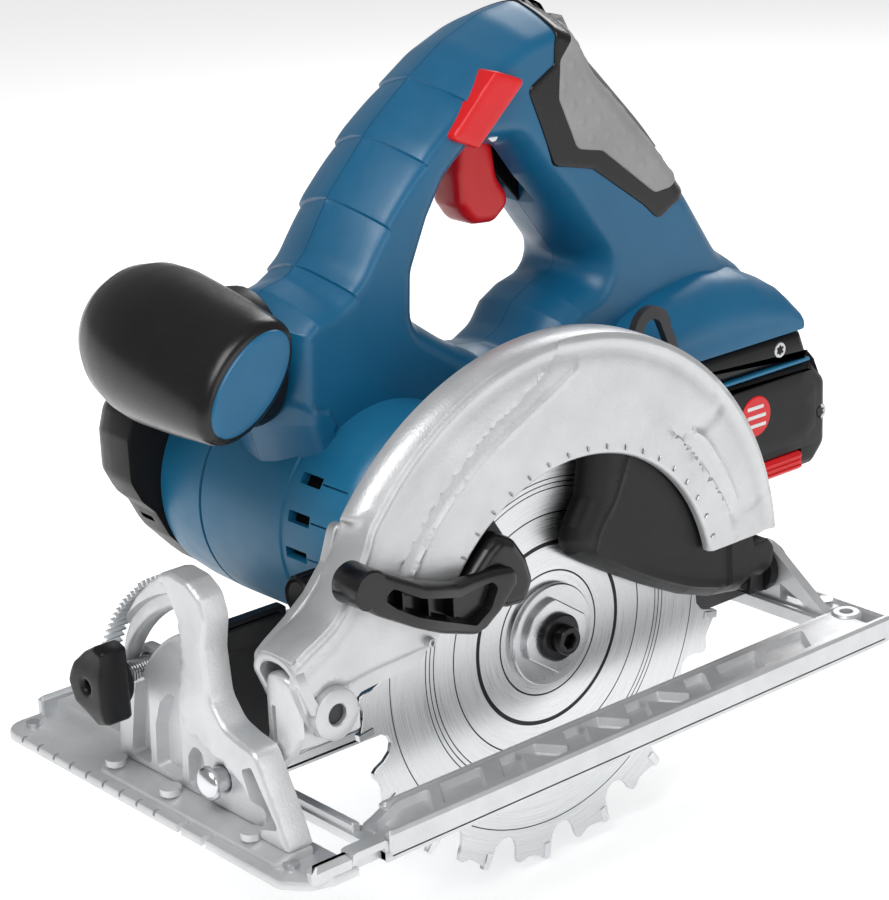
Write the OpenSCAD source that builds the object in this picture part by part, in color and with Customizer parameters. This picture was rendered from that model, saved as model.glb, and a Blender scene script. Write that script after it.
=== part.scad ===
// Cordless circular saw with the blade on the operator's left.
// Frame: +X to the rear, +Y to the motor side, +Z up. The origin is on the underside of the sole,
// in the plane of the blade, straight below the spindle. Millimetres.

/* [Blade] */
// Blade diameter over the tooth tips
blade_d = 165; // [150:1:176]
// Number of teeth
blade_teeth = 18; // [12:1:36]
// Thickness of the blade's steel disc
blade_t = 1.6; // [1.2:0.1:2]
// Width of the cut made by the carbide tips
kerf = 2.4; // [2.2:0.1:2.8]
// Height of the spindle over the underside of the sole at full depth
spindle_h = 31.5; // [30:0.5:45]

/* [Sole] */
// Distance from the spindle to the front edge of the sole
sole_front = 137; // [134:1:165]
// Distance from the spindle to the rear edge of the sole
sole_rear = 134; // [131:1:165]
// Distance from the blade to the sole's near edge
sole_near = 39.5; // [37:0.5:60]
// Distance from the blade to the sole's far edge
sole_far = 124; // [100:1:150]
// Thickness of the sole's floor
sole_t = 3; // [2:0.5:4]
// Height of the sole's edge flanges
flange_h = 9; // [7:0.5:12]
// Width of the channel for the rip fence
fence_w = 11; // [9:0.5:12]
// Height of the channel for the rip fence
fence_h = 4.5; // [4.2:0.1:5]

/* [Guards] */
// Radius of the upper guard's outer wall
guard_r = 102.5; // [100:0.5:112]
// Wall thickness of the upper guard
guard_wall = 2.5; // [2:0.25:3]
// Radius of the arch cut in the upper guard's face
arch_r = 63; // [50:1:70]

/* [Motor] */
// Outer radius of the motor housing
motor_r = 40; // [38:0.5:46]
// Wall thickness of the plastic housings
shell = 3; // [2:0.25:4]
// Teeth on the motor pinion
pinion_teeth = 12; // [12:1:14]
// Teeth on the spindle gear
gear_teeth = 48; // [40:1:52]
// Distance from the blade to the far end of the motor housing
motor_end = 107; // [104:1:130]
// Depth of the end cap
cap_depth = 31; // [28:1:40]

/* [Handle] */
// Width of the main handle
handle_w = 46; // [42:1:54]
// Distance from the blade to the middle of the handle
handle_y = 56; // [55:1:62]

/* [Battery] */
// Width of the battery pack
pack_w = 76; // [74:1:90]
// Length of the battery pack
pack_l = 104; // [104:1:120]

/* [Hidden] */
$fn = 64;

gap = 0.4;              // clearance between pieces that move past each other
fit = 0.05;             // radial clearance of a running fit
blade_r = blade_d / 2;

// Bevel axis, parallel to X, and depth axis, parallel to Y
bevel_y = 14;
bevel_z = 17;
bevel_pin_r = 4;
depth_x = -104;
depth_z = 43;
depth_pin_r = 4;

// Sole
opening_front = -100;
opening_rear = 118;
opening_far = 31;
strip_in = -19;         // inner edge of the near strip
fence_x = opening_front - 3.5 - fence_w / 2;

// Front quadrant and the frame behind it
quad_x0 = -124;
quad_x1 = -119;
plate_x0 = quad_x1 + gap;
plate_x1 = plate_x0 + 4;
quad_r = 66;
slot_r = 50;
slot_a0 = 26;           // angle of the clamp bolt over the far side at no bevel
bevel_max = 45;
wing_r = 4;

// Upper guard
guard_cx = -8;
guard_cz = 36;
guard_y0 = -17;
guard_y1 = 7.5;
guard_cut = 47;         // height of the guard's lower edge
guard_waist = -6;       // behind this the outer wall draws in
guard_back_r = blade_r + 9.5;
hood_y0 = -21;
hood_y1 = 4;
lug_y0 = -14;
lug_y1 = -1;

// Lower guard
lower_y0 = -12.5;
lower_y1 = 4.4;
lower_r = blade_r + 6;
nose_r = 24;            // outer radius of the gear housing's nose

// Spindle, gears and motor
motor_x = -20;
motor_z = 54;
body_x = -38;           // middle of the motor housing
body_z = 75;
gear_c = norm([motor_x, motor_z - spindle_h]);
gear_mod = 2 * gear_c / (gear_teeth + pinion_teeth);
spindle_r = 7.5;
shaft_r = 4;
gear_y0 = 15;
gear_y1 = 25;
case_y0 = guard_y1;
case_y1 = 30;
can_r = 23;

// Depth arm
arm_r = 182;
arm_y0 = 9;
arm_y1 = 12;
bolt_a = -2;
bolt_x = depth_x + arm_r * cos(bolt_a);
bolt_z = depth_z + arm_r * sin(bolt_a);
depth_swing = 27;

// Handle
near_y = handle_y - handle_w / 2;
far_y = handle_y + handle_w / 2;
foot_z = 100.6;
foot_w = pack_w + 2;

// Battery
pack_x0 = 57;
pack_x1 = pack_x0 + pack_l;
pack_z0 = 46;
pack_z1 = foot_z - gap;
pack_split = 88;
pack_y0 = handle_y - pack_w / 2;
pack_y1 = handle_y + pack_w / 2;
cell_r = 9.1;
cell_pitch = 18.6;

// Rods along Y and along X
module rod_y(x, z, y0, y1, r) translate([x, y1, z]) rotate([90, 0, 0]) cylinder(r = r, h = y1 - y0);
module rod_x(y, z, x0, x1, r) translate([x0, y, z]) rotate([0, 90, 0]) cylinder(r = r, h = x1 - x0);
// Plates cut from an XZ or a YZ outline
module plate_xz(y0, y1) translate([0, y1, 0]) rotate([90, 0, 0]) linear_extrude(y1 - y0) children();
module plate_yz(x0, x1) translate([x0, 0, 0]) rotate([90, 0, 90]) linear_extrude(x1 - x0) children();
module block(x0, x1, y0, y1, z0, z1) translate([x0, y0, z0]) cube([x1 - x0, y1 - y0, z1 - z0]);
module ring2d(r1, r0) difference() {
    circle(r1);
    circle(r0);
}
// Slice of a disc between two angles
module wedge2d(r, a0, a1) intersection() {
    circle(r);
    polygon(concat([[0, 0]], [for (i = [0:6]) let (a = a0 + (a1 - a0) * i / 6) [2 * r * cos(a), 2 * r * sin(a)]]));
}
// Curved slot around the origin
module arc_slot2d(r, w, a0, a1) {
    intersection() {
        ring2d(r + w / 2, r - w / 2);
        wedge2d(r + w, a0, a1);
    }
    for (a = [a0, a1]) translate([r * cos(a), r * sin(a)]) circle(w / 2);
}

// ---- Sole ----
module sole_outline() offset(6) offset(-6)
    translate([-sole_front, -sole_near]) square([sole_front + sole_rear, sole_near + sole_far]);

module opening2d() offset(5) offset(-5)
    translate([opening_front, strip_in]) square([opening_rear - opening_front, opening_far - strip_in]);

module base_plate() color("silver") difference() {
    union() {
        linear_extrude(sole_t) sole_outline();
        intersection() {
            linear_extrude(flange_h) sole_outline();
            union() {
                block(opening_front - 24, sole_rear, -sole_near, -sole_near + 3.5, 0, flange_h);
                block(-sole_front + 14, sole_rear, sole_far - 3, sole_far, 0, flange_h);
                block(sole_rear - 3, sole_rear, -sole_near, sole_far, 0, flange_h - 2);
            }
        }
        block(-92, opening_rear - 2, strip_in - 3, strip_in, 0, flange_h - 1);
        for (i = [0:7]) translate([-78 + 24 * i, strip_in - 2, 0]) rotate([0, 0, 215]) cube([20, 2, flange_h - 3]);
        block(fence_x - fence_w / 2 - 2.5, fence_x + fence_w / 2 + 2.5, -sole_near + 1, sole_far - 1, 0, fence_h + 2);
        block(opening_front - 2, opening_rear + 1, opening_far, opening_far + 2, 0, sole_t + 1.5);
        for (x = [-60, -10, 40, 90]) block(x, x + 2, opening_far + 2, sole_far - 1, 0, sole_t + 1.5);
        translate([sole_rear - 12, strip_in - 6, 0]) cylinder(r = 5.5, h = flange_h);
    }
    translate([0, 0, -1]) linear_extrude(flange_h + 2) opening2d();
    block(fence_x - fence_w / 2, fence_x + fence_w / 2, -sole_near - 1, sole_far + 1, -1, fence_h);
    translate([sole_rear - 12, strip_in - 6, -1]) cylinder(r = 2.5, h = flange_h + 2);
    // Clears the depth pivot at full bevel
    block(fence_x - fence_w / 2 - 3, opening_front + 1, -32, strip_in + 1, sole_t + 0.6, 20);
    for (y = [7, 20]) translate([-sole_front - 1, y, -1]) cube([5, 3, sole_t + 2]);
    for (p = quad_screw_at()) translate([p[0], p[1], -1]) cylinder(r = 2, h = 2 * flange_h);
    for (p = rear_screw_at()) translate([p[0], p[1], -1]) cylinder(r = 2, h = 2 * flange_h);
    for (p = stud_at()) translate([p[0], p[1], -1]) cylinder(r = 1.5, h = 2 * flange_h);
}
function stud_at() = [[-sole_front + 8, sole_far - 8], [-sole_front + 8, -sole_near + 14], [sole_rear - 8, sole_far - 9]];
module sole_studs() color("lightgrey") for (p = stud_at()) translate([p[0], p[1], 0.4]) {
    cylinder(r = 1.5, h = sole_t + 0.6);
    translate([0, 0, sole_t - 0.4]) cylinder(r = 2.4, h = 1.6);
}

// ---- Front quadrant ----
quad_foot_t = 3;
function quad_screw_at() = [[-129, 66], [-129, 36], [-129, -6]];
module quad_outline() difference() {
    union() {
        intersection() {
            translate([bevel_y, bevel_z]) wedge2d(quad_r, -30, 74);
            translate([-20, sole_t]) square([110, 90]);
        }
        translate([bevel_y, bevel_z]) circle(10);
        polygon([[bevel_y - 9, bevel_z - 8], [bevel_y + 12, bevel_z + 10], [38, 78], [30, 76], [8, 30]]);
        polygon([[bevel_y - 8, bevel_z + 6], [bevel_y + 4, sole_t], [-22, sole_t], [-20, sole_t + 4]]);
    }
    translate([bevel_y, bevel_z]) {
        arc_slot2d(slot_r, 2 * wing_r + 1, slot_a0, slot_a0 + bevel_max);
        circle(bevel_pin_r);
        for (a = [4, 24, 44]) intersection() {
            ring2d(slot_r - 10, 17);
            wedge2d(quad_r, a, a + 14);
        }
    }
    polygon([[-4, sole_t + 3], [3, sole_t + 3], [0, sole_t + 9]]);
}
module bevel_quadrant() color("gainsboro") difference() {
    union() {
        plate_yz(quad_x0, quad_x1) quad_outline();
        plate_yz(quad_x0 - 3, quad_x0) intersection() {
            translate([bevel_y, bevel_z]) difference() {
                wedge2d(quad_r, -14, 72);
                circle(quad_r - 4);
            }
            translate([-20, sole_t]) square([110, 90]);
        }
        block(quad_x0 - 9, quad_x1, -18, 78, sole_t, sole_t + quad_foot_t);
    }
    for (p = quad_screw_at()) translate([p[0], p[1], -1]) cylinder(r = 2, h = 20);
    plate_yz(quad_x0 - 4, quad_x1 + 1) translate([bevel_y, bevel_z])
        arc_slot2d(slot_r, 2 * wing_r + 1, slot_a0, slot_a0 + bevel_max);
    rod_x(bevel_y, bevel_z, quad_x0 - 9, quad_x1 + 1, bevel_pin_r);
}
module quadrant_screws() color("grey") for (p = quad_screw_at()) translate([p[0], p[1], 0]) {
    translate([0, 0, 0.5]) cylinder(r = 2, h = sole_t + quad_foot_t - 0.5);
    translate([0, 0, sole_t + quad_foot_t]) cylinder(r = 3.6, h = 2.2);
}

// ---- Rear bevel pivot ----
rear_x0 = 120.4;
rear_x1 = 124.4;
function rear_screw_at() = [[rear_x1 + 3.2, -10], [rear_x1 + 3.2, 40]];
module rear_pivot_lug() color("gainsboro") difference() {
    union() {
        plate_yz(rear_x0, rear_x1) difference() {
            hull() {
                translate([bevel_y, bevel_z]) circle(9);
                translate([-16, sole_t]) square([60, 3]);
            }
            polygon([[bevel_y - 9, sole_t + 3], [-9, sole_t + 3], [bevel_y - 9, bevel_z - 5]]);
            polygon([[bevel_y + 9, sole_t + 3], [36, sole_t + 3], [bevel_y + 9, bevel_z - 5]]);
        }
        for (p = rear_screw_at()) block(rear_x0, rear_x1 + 6.4, p[1] - 5, p[1] + 5, sole_t, sole_t + 3);
    }
    rod_x(bevel_y, bevel_z, rear_x0 - 1, rear_x1 + 1, bevel_pin_r);
    for (p = rear_screw_at()) translate([p[0], p[1], -1]) cylinder(r = 2, h = 20);
}
module rear_lug_screws() color("grey") for (p = rear_screw_at()) translate([p[0], p[1], 0]) {
    translate([0, 0, 0.5]) cylinder(r = 2, h = sole_t + 2.5);
    translate([0, 0, sole_t + 3]) cylinder(r = 3, h = 2);
}

// ---- Bevel pins: fixed in the sole's lugs, the frame turns on them ----
module front_bevel_pin() color("silver") {
    rod_x(bevel_y, bevel_z, quad_x0 - 2, plate_x1 + 2, bevel_pin_r);
    rod_x(bevel_y, bevel_z, quad_x0 - 5, quad_x0, 7);
}
module rear_bevel_pin() color("silver") {
    rod_x(bevel_y, bevel_z, rear_x0 - 7, rear_x1 + 1, bevel_pin_r);
    rod_x(bevel_y, bevel_z, rear_x1, rear_x1 + 3, 6.5);
}

// ---- Bevel frame ----
rear_plate_x1 = rear_x0 - gap;
rear_plate_x0 = rear_plate_x1 - 4;
rail_y0 = 31;
rail_y1 = 36;
clamp_y = bevel_y + slot_r * cos(slot_a0);
clamp_z = bevel_z + slot_r * sin(slot_a0);
module bevel_frame() color("dimgrey") difference() {
    union() {
        plate_yz(plate_x0, plate_x1) {
            hull() {
                translate([bevel_y, bevel_z]) circle(9);
                translate([clamp_y, clamp_z]) circle(8);
            }
            polygon([[lug_y0 + 0.5, 33], [lug_y0 + 0.5, 40], [lug_y1, 44], [17, 44], [rail_y1, 54], [rail_y1, 20], [5, 12]]);
        }
        plate_yz(plate_x1, depth_x - 3)
            polygon([[lug_y0 + 0.5, 33], [lug_y0 + 0.5, depth_z], [lug_y1, depth_z], [lug_y1, 29], [9, 22], [9, 12], [5, 12]]);
        difference() {
            rod_y(depth_x, depth_z, lug_y0 + 0.5, lug_y1, 9);
            rod_y(depth_x, depth_z, lug_y0, lug_y1 + 1, depth_pin_r);
        }
        block(plate_x0, -83, rail_y0, rail_y1, 9, 54);
        block(-83, rear_plate_x1, rail_y0, rail_y1, 9, 22);
        plate_yz(rear_plate_x0, rear_plate_x1) hull() {
            translate([bevel_y, bevel_z]) circle(9);
            translate([rail_y0, 9]) square([rail_y1 - rail_y0, 13]);
        }
        rod_x(clamp_y, clamp_z, plate_x1, plate_x1 + 4, 7);
    }
    rod_y(depth_x, depth_z, lug_y0 - 1, lug_y1 + 1, depth_pin_r);
    rod_x(bevel_y, bevel_z, plate_x0 - 1, plate_x1 + 6, bevel_pin_r + fit);
    rod_x(bevel_y, bevel_z, rear_plate_x0 - 6, rear_plate_x1 + 1, bevel_pin_r + fit);
    rod_x(clamp_y, clamp_z, plate_x0 - 1, plate_x1 + 6, wing_r + fit);
}
arm_foot_x = rear_plate_x0 - 12;
module depth_arm() color("darkgrey") difference() {
    union() {
        plate_xz(arm_y0, arm_y1) difference() {
            union() {
                translate([depth_x, depth_z]) intersection() {
                    ring2d(arm_r + 8, arm_r - 8);
                    wedge2d(arm_r + 20, -9, bolt_a + depth_swing);
                }
                translate([depth_x, depth_z]) rotate(bolt_a + depth_swing) translate([arm_r, 0]) circle(8.6);
                polygon([[bolt_x - 8, 14], [bolt_x + 6, 26], [rear_plate_x0, 24], [rear_plate_x0, 11], [bolt_x, 11]]);
            }
            translate([depth_x, depth_z]) arc_slot2d(arm_r, 8.6, bolt_a, bolt_a + depth_swing);
        }
        block(rear_plate_x0 - 3, rear_plate_x0, arm_y0, 26, 10, 24);
    }
    for (y = [19]) rod_x(y, bevel_z + 4, rear_plate_x0 - 4, rear_plate_x0 + 1, 1.6);
    rod_x(bevel_y, bevel_z, rear_plate_x0 - 8, rear_plate_x0 + 1, bevel_pin_r + 1);
}
module depth_arm_screws() color("grey") {
    rod_x(19, bevel_z + 4, rear_plate_x0 - 3, rear_plate_x0, 1.6);
    rod_x(19, bevel_z + 4, rear_plate_x0 - 5, rear_plate_x0 - 3, 2.4);
}
module wing_screw() color([0.08, 0.08, 0.08]) {
    rod_x(clamp_y, clamp_z, quad_x0 - 4, plate_x1 + 6, wing_r);
    difference() {
        union() {
            rod_x(clamp_y, clamp_z, quad_x0 - 14, quad_x0 - 3 - gap, 8);
            plate_yz(quad_x0 - 22, quad_x0 - 8) polygon([[clamp_y - 12, clamp_z + 14], [clamp_y - 12, clamp_z - 13],
                [clamp_y - 6, clamp_z - 14.5], [clamp_y + 1, clamp_z - 10], [clamp_y + 8, clamp_z - 6],
                [clamp_y + 10, clamp_z], [clamp_y + 8, clamp_z + 6], [clamp_y + 1, clamp_z + 12], [clamp_y - 6, clamp_z + 16]]);
        }
        rod_x(clamp_y, clamp_z, quad_x0 - 23, quad_x0 - 16, 3);
    }
}
module depth_pivot_pin() color("darkgrey") rod_y(depth_x, depth_z, hood_y0 + 1.5, hood_y1 + 0.5, depth_pin_r);

// ---- Upper guard ----
module guard_outline() union() {
    translate([guard_cx, guard_cz]) circle(guard_r);
    polygon([[-88, 92], [-95, 81], [-103, 72], [-114, 66], [-118, 63], [-117, 52], [-112, 44], [-60, 44], [-40, 60]]);
}
module above(z) intersection() {
    children();
    translate([-200, z]) square([400, 300]);
}
module guard_face2d() difference() {
    above(guard_cut) guard_outline();
    translate([-0.5, 33]) circle(arch_r);
}
// Rear half of the guard: a cone from the outer wall down to the back plate, d inside the surface
module guard_cone(d, y1) hull() {
    rod_y(guard_cx, guard_cz, guard_waist - 0.1, guard_waist, guard_r - d);
    rod_y(0, spindle_h, y1 - 0.1, y1, guard_back_r - d);
}
module upper_guard() color("lightgrey") difference() {
    union() {
        plate_xz(guard_y0, guard_y0 + guard_wall) guard_face2d();
        plate_xz(guard_y0, guard_waist) difference() {
            above(guard_cut) guard_outline();
            offset(-guard_wall) guard_outline();
        }
        difference() {
            guard_cone(0, guard_y1);
            guard_cone(guard_wall, guard_y1 - 2);
            rod_y(0, spindle_h, guard_y1 - 3, guard_y1 + 1, 33);
            block(-130, 130, guard_y0, guard_y1 - 2, -90, guard_cut);
            block(-130, 130, guard_y1 - 2.1, guard_y1 + 1, -90, 25);
            block(-130, -62, guard_y0, guard_y1 + 1, 0, guard_cut);
        }
        // Hood over the depth pivot
        plate_xz(hood_y0 + 2, hood_y1)
            polygon([[-90, 84], [-95, 80], [-103, 72], [-114, 66], [-118, 63], [-117, 54], [-92, 54]]);
        rod_y(depth_x, depth_z, hood_y0, lug_y0, 9);
        plate_xz(hood_y0 + 2, lug_y0) polygon([[-118, 60], [-113, 43], [-104, 38], [-96, 44], [-92, 60]]);
        rod_y(depth_x, depth_z, lug_y1 + 0.5, hood_y1, 9);
        plate_xz(lug_y1 + 0.5, hood_y1) polygon([[-118, 60], [-117, 54], [-110, 53], [depth_x - 4, 50], [depth_x, depth_z],
            [-95, 43], [-90, 60]]);
    }
    plate_xz(lug_y0, lug_y1 + 0.5)
        polygon([[-86, 75], [-93, 72], [-100, 65], [-113, 61], [-119, 60], [-119, 30], [-86, 30]]);
    rod_y(depth_x, depth_z, hood_y0 - 1, lug_y0 + 1, depth_pin_r + fit);
    rod_y(depth_x, depth_z, lug_y1 - 1, hood_y1 + 1, depth_pin_r + fit);
    rod_y(bolt_x, bolt_z, guard_y1 - 3, guard_y1 + 1, 4);
    for (a = guard_screw_a()) rod_y(38 * cos(a), spindle_h + 38 * sin(a), guard_y1 - 3, guard_y1 + 1, 2);
}
function guard_screw_a() = [20, 75, 150];
module guard_screws() color("grey") for (a = guard_screw_a()) {
    rod_y(38 * cos(a), spindle_h + 38 * sin(a), guard_y1 - 2, case_y0 + 8, 2);
}

// ---- Lower guard and its lever ----
module lower_guard() color([0.1, 0.1, 0.1]) {
    // Side next to the motor, with the hub that turns on the gear housing's nose
    translate([0, 0, spindle_h]) {
        plate_xz(lower_y1 - 1.8, lower_y1) difference() {
            union() {
                wedge2d(lower_r, -6, 152);
                circle(nose_r + 3.8);
            }
            circle(nose_r + fit);
        }
        plate_xz(lower_y0, lower_y1) difference() {
            wedge2d(lower_r, -6, 152);
            circle(lower_r - 2);
        }
        // Side next to the operator, with a hidden band behind the upper guard and the lever's tab
        plate_xz(lower_y0, lower_y0 + 1.8) {
            difference() {
                wedge2d(lower_r, -6, 78);
                circle(31);
                polygon([[0, 0], [50, 2], [84, -8], [60, -60], [0, -60]]);
            }
            intersection() {
                ring2d(lower_r, arch_r + 3);
                wedge2d(lower_r, 76, 152);
            }
            intersection() {
                ring2d(arch_r + 4, 52);
                wedge2d(lower_r, 122, 150);
            }
        }
        // Nose that rides up on the work
        plate_xz(lower_y0, lower_y1) difference() {
            polygon([[84, -9], [87, 6], [91.5, 6], [96, -2], [92, -9]]);
            circle(lower_r - 2);
        }
    }
}
lever_y0 = -31;
lever_y1 = -19.6;
module lever_outline() polygon([[-93, 62], [-99, 56], [-98, 50], [-88, 42], [-66, 28], [-44, 18], [-36, 22], [-31, 36],
    [-34, 44], [-46, 44], [-60, 46], [-78, 52]]);
module guard_lever() color([0.06, 0.06, 0.06]) translate([0, 0, spindle_h]) {
    difference() {
        plate_xz(lever_y0, lever_y1) lever_outline();
        plate_xz(lever_y0 + 2.5, lever_y1 - 2.5) offset(-2.5) lever_outline();
        plate_xz(lever_y0 + 2.5, lever_y1 - 2.5) polygon([[-90, 46], [-66, 34], [-44, 22], [-40, 12], [-95, 30]]);
        // The near side draws in towards the inner end, which keeps it off the sole's edge at full bevel
        linear_extrude(80) polygon([[-78, lever_y0 - 1], [-78, lever_y0], [-46, lever_y0 + 7], [-30, lever_y0 + 7.5],
            [-30, lever_y0 - 1]]);
    }
    // Web through the arch to the tab on the lower guard
    plate_xz(lever_y1, lower_y0) intersection() {
        ring2d(58, 53);
        wedge2d(70, 126, 146);
    }
}
module guard_retainer() color("silver") difference() {
    rod_y(0, spindle_h, 1.5, 2.3, nose_r + 3);
    rod_y(0, spindle_h, 0, 3, 18.5);
}

// Torsion spring round the gear housing's nose, swept along a helix
spring_turns = 2.5;
spring_r = 29;
wire_r = 0.7;
function ring_pts(c, u, v, r, n) = [for (k = [0:n - 1]) c + r * (cos(360 * k / n) * u + sin(360 * k / n) * v)];
module guard_spring() color("slategrey") {
    steps = 50;
    sides = 8;
    pts = [for (i = [0:steps]) let (a = 360 * spring_turns * i / steps)
        each ring_pts([spring_r * cos(a), 8.3 + 1.76 * a / 360, spindle_h + spring_r * sin(a)],
            [cos(a), 0, sin(a)], [0, 1, 0], wire_r, sides)];
    faces = concat([[for (k = [0:sides - 1]) k]],
        [for (i = [0:steps - 1], k = [0:sides - 1]) let (b = i * sides, n = (k + 1) % sides)
            [b + k, b + sides + k, b + sides + n, b + n]],
        [[for (k = [0:sides - 1]) steps * sides + sides - 1 - k]]);
    polyhedron(pts, faces);
}

// ---- Blade and spindle ----
module tooth_gap() {
    // Gullet in front of a tooth, then the relief down to the next shoulder
    hull() {
        translate([blade_r - 7.5, 4.6]) circle(3.4, $fn = 24);
        translate([blade_r + 4, 1.2]) circle(0.6, $fn = 24);
        translate([blade_r + 4, 10]) circle(2, $fn = 24);
    }
    translate([blade_r - 1.6, 9]) square([5, 12]);
}
module blade() color("lightsteelblue") translate([0, 0, spindle_h]) {
    difference() {
        plate_xz(-blade_t / 2, blade_t / 2) difference() {
            circle(blade_r - 0.6);
            circle(15);
            for (i = [0:blade_teeth - 1]) rotate(-91.5 + i * 360 / blade_teeth) tooth_gap();
        }
    }
    for (i = [0:blade_teeth - 1]) plate_xz(-kerf / 2, kerf / 2) rotate(-91.5 + i * 360 / blade_teeth)
        polygon([[blade_r - 6, 0.4], [blade_r - 0.1, 0], [blade_r - 0.7, -2.4], [blade_r - 6, -2]]);
}
module inner_flange() color("silver") difference() {
    union() {
        rod_y(0, spindle_h, blade_t / 2, 3.9, 17.5);
        rod_y(0, spindle_h, -blade_t / 2 + 0.1, blade_t / 2, 15);
    }
    rod_y(0, spindle_h, -2, 5, spindle_r);
}
module outer_flange() color("silver") difference() {
    union() {
        rod_y(0, spindle_h, -3.2, -blade_t / 2, 17.5);
        intersection() {
            rod_y(0, spindle_h, -5.4, -3.2, 13.5);
            block(-11.5, 11.5, -6, -3, 0, 80);
        }
    }
    rod_y(0, spindle_h, -6, 0, 5);
}
module clamping_bolt() color([0.15, 0.15, 0.16]) difference() {
    union() {
        rod_y(0, spindle_h, -5.4, 12, 3.9);
        rod_y(0, spindle_h, -7.4, -5.4, 8);
        rod_y(0, spindle_h, -11.6, -7.4, 4.9);
    }
    translate([0, -8.6, spindle_h]) rotate([90, 0, 0]) cylinder(r = 2.9, h = 5, $fn = 6);
}
module spindle() color("grey") difference() {
    union() {
        rod_y(0, spindle_h, -blade_t / 2 + 0.1, 26, spindle_r);
        rod_y(0, spindle_h, 26, case_y1 - 0.2, 5);
    }
    rod_y(0, spindle_h, -3, 12, 3.9);
}

// ---- Gears: involute flanks, pressure angle 20 degrees ----
function inv_pt(rb, t) = rb * [cos(t) + t * PI / 180 * sin(t), sin(t) - t * PI / 180 * cos(t)];
function inv_t(rb, r) = sqrt(max(0, (r / rb) * (r / rb) - 1)) * 180 / PI;
function turn(p, a) = [p[0] * cos(a) - p[1] * sin(a), p[0] * sin(a) + p[1] * cos(a)];
// One closed outline: a root point, a flank up, a flank down and a root point for each tooth
function gear_pts(n, m, add, backlash) =
    let (rp = m * n / 2, rb = rp * cos(20), ra = rp + add, rr = rp - 1.15 * m)
    let (ap = inv_pt(rb, inv_t(rb, rp)), half = 90 / n + atan2(ap[1], ap[0]) - backlash / rp * 180 / PI)
    let (lo = max(rb, rr), root = min(half + 0.6, 172 / n))
    let (flank = [for (k = [0:4]) let (r = lo + (ra - lo) * k / 4) inv_pt(rb, inv_t(rb, r))])
    [for (i = [0:n - 1]) each [for (p = concat([turn([rr, 0], -root)], [for (q = flank) turn(q, -half)],
        [for (k = [4:-1:0]) turn([flank[k][0], -flank[k][1]], half)], [turn([rr, 0], root)])) turn(p, i * 360 / n)]];
mesh_a = atan2(motor_z - spindle_h, motor_x);
module spindle_gear() color("darkgrey") translate([0, 0, spindle_h]) plate_xz(gear_y0, gear_y1) difference() {
    rotate(mesh_a) polygon(gear_pts(gear_teeth, gear_mod, 0.7 * gear_mod, 0.06));
    circle(spindle_r);
}
module motor_pinion() color("silver") translate([motor_x, 0, motor_z]) plate_xz(gear_y0 - 0.6, gear_y1 + 0.6) difference() {
    rotate(mesh_a + 180 + 180 / pinion_teeth) polygon(gear_pts(pinion_teeth, gear_mod, 0.8 * gear_mod, 0.06));
    circle(shaft_r - 0.5);
}
module spindle_bearings() color("silver") {
    difference() {
        rod_y(0, spindle_h, 4.6, 13.6, 16);
        rod_y(0, spindle_h, 4, 14, spindle_r + fit);
    }
    difference() {
        rod_y(0, spindle_h, 26.5, case_y1 - 0.2, 11);
        rod_y(0, spindle_h, 26, 32, 5 + fit);
    }
}
spindle_case_r = 27.5;
module case_outline() hull() {
    translate([0, spindle_h]) circle(spindle_case_r, $fn = 96);
    translate([body_x, body_z]) circle(motor_r, $fn = 96);
}
module gear_housing() color("steelblue") difference() {
    union() {
        plate_xz(case_y0, case_y1) case_outline();
        rod_y(0, spindle_h, 2.3, case_y0, nose_r);
        for (a = guard_screw_a()) hull() {
            rod_y(38 * cos(a), spindle_h + 38 * sin(a), case_y0, case_y0 + 9, 5);
            rod_y(22 * cos(a), spindle_h + 22 * sin(a), case_y0, case_y0 + 9, 5);
        }
    }
    // Gear chamber
    hull() {
        rod_y(0, spindle_h, 14, case_y1 - 4, spindle_case_r - 2.5);
        rod_y(motor_x, motor_z, 14, case_y1 - 4, 14);
    }
    rod_y(0, spindle_h, 0, 4.6, 18.5);
    rod_y(0, spindle_h, 4, 15, 16);
    difference() {
        rod_y(0, spindle_h, 0, 13.4, 30.8);
        rod_y(0, spindle_h, -1, 13.5, nose_r + 3);
        rod_y(0, spindle_h, -1, case_y0 + 0.4, 40);
    }
    difference() {
        rod_y(0, spindle_h, case_y0, 13.4, 31);
        rod_y(0, spindle_h, 0, 14, nose_r + 3);
    }
    hull() {
        rod_y(0, spindle_h, case_y1 - 4, case_y1 + 1, spindle_case_r - 3.5);
        rod_y(body_x, body_z, case_y1 - 4, case_y1 + 1, motor_r - 6);
    }
    for (a = guard_screw_a()) rod_y(38 * cos(a), spindle_h + 38 * sin(a), case_y0 - 1, case_y0 + 8, 2);
    block(-100, -30, lock_y - 4, lock_y + 4, lock_z - 8, lock_z - 1);
    rod_x(lock_y, lock_z, -100, -66, 7);
}
module bearing_plate() color("darkgrey") difference() {
    hull() {
        rod_y(0, spindle_h, case_y1 - 4, case_y1, spindle_case_r - 3.5);
        rod_y(body_x, body_z, case_y1 - 4, case_y1, motor_r - 6);
    }
    rod_y(0, spindle_h, case_y1 - 3.5, case_y1 + 1, 11);
    rod_y(0, spindle_h, case_y1 - 5, case_y1, 8);
    rod_y(motor_x, motor_z, case_y1 - 5, case_y1 + 1, 8);
}

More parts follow.
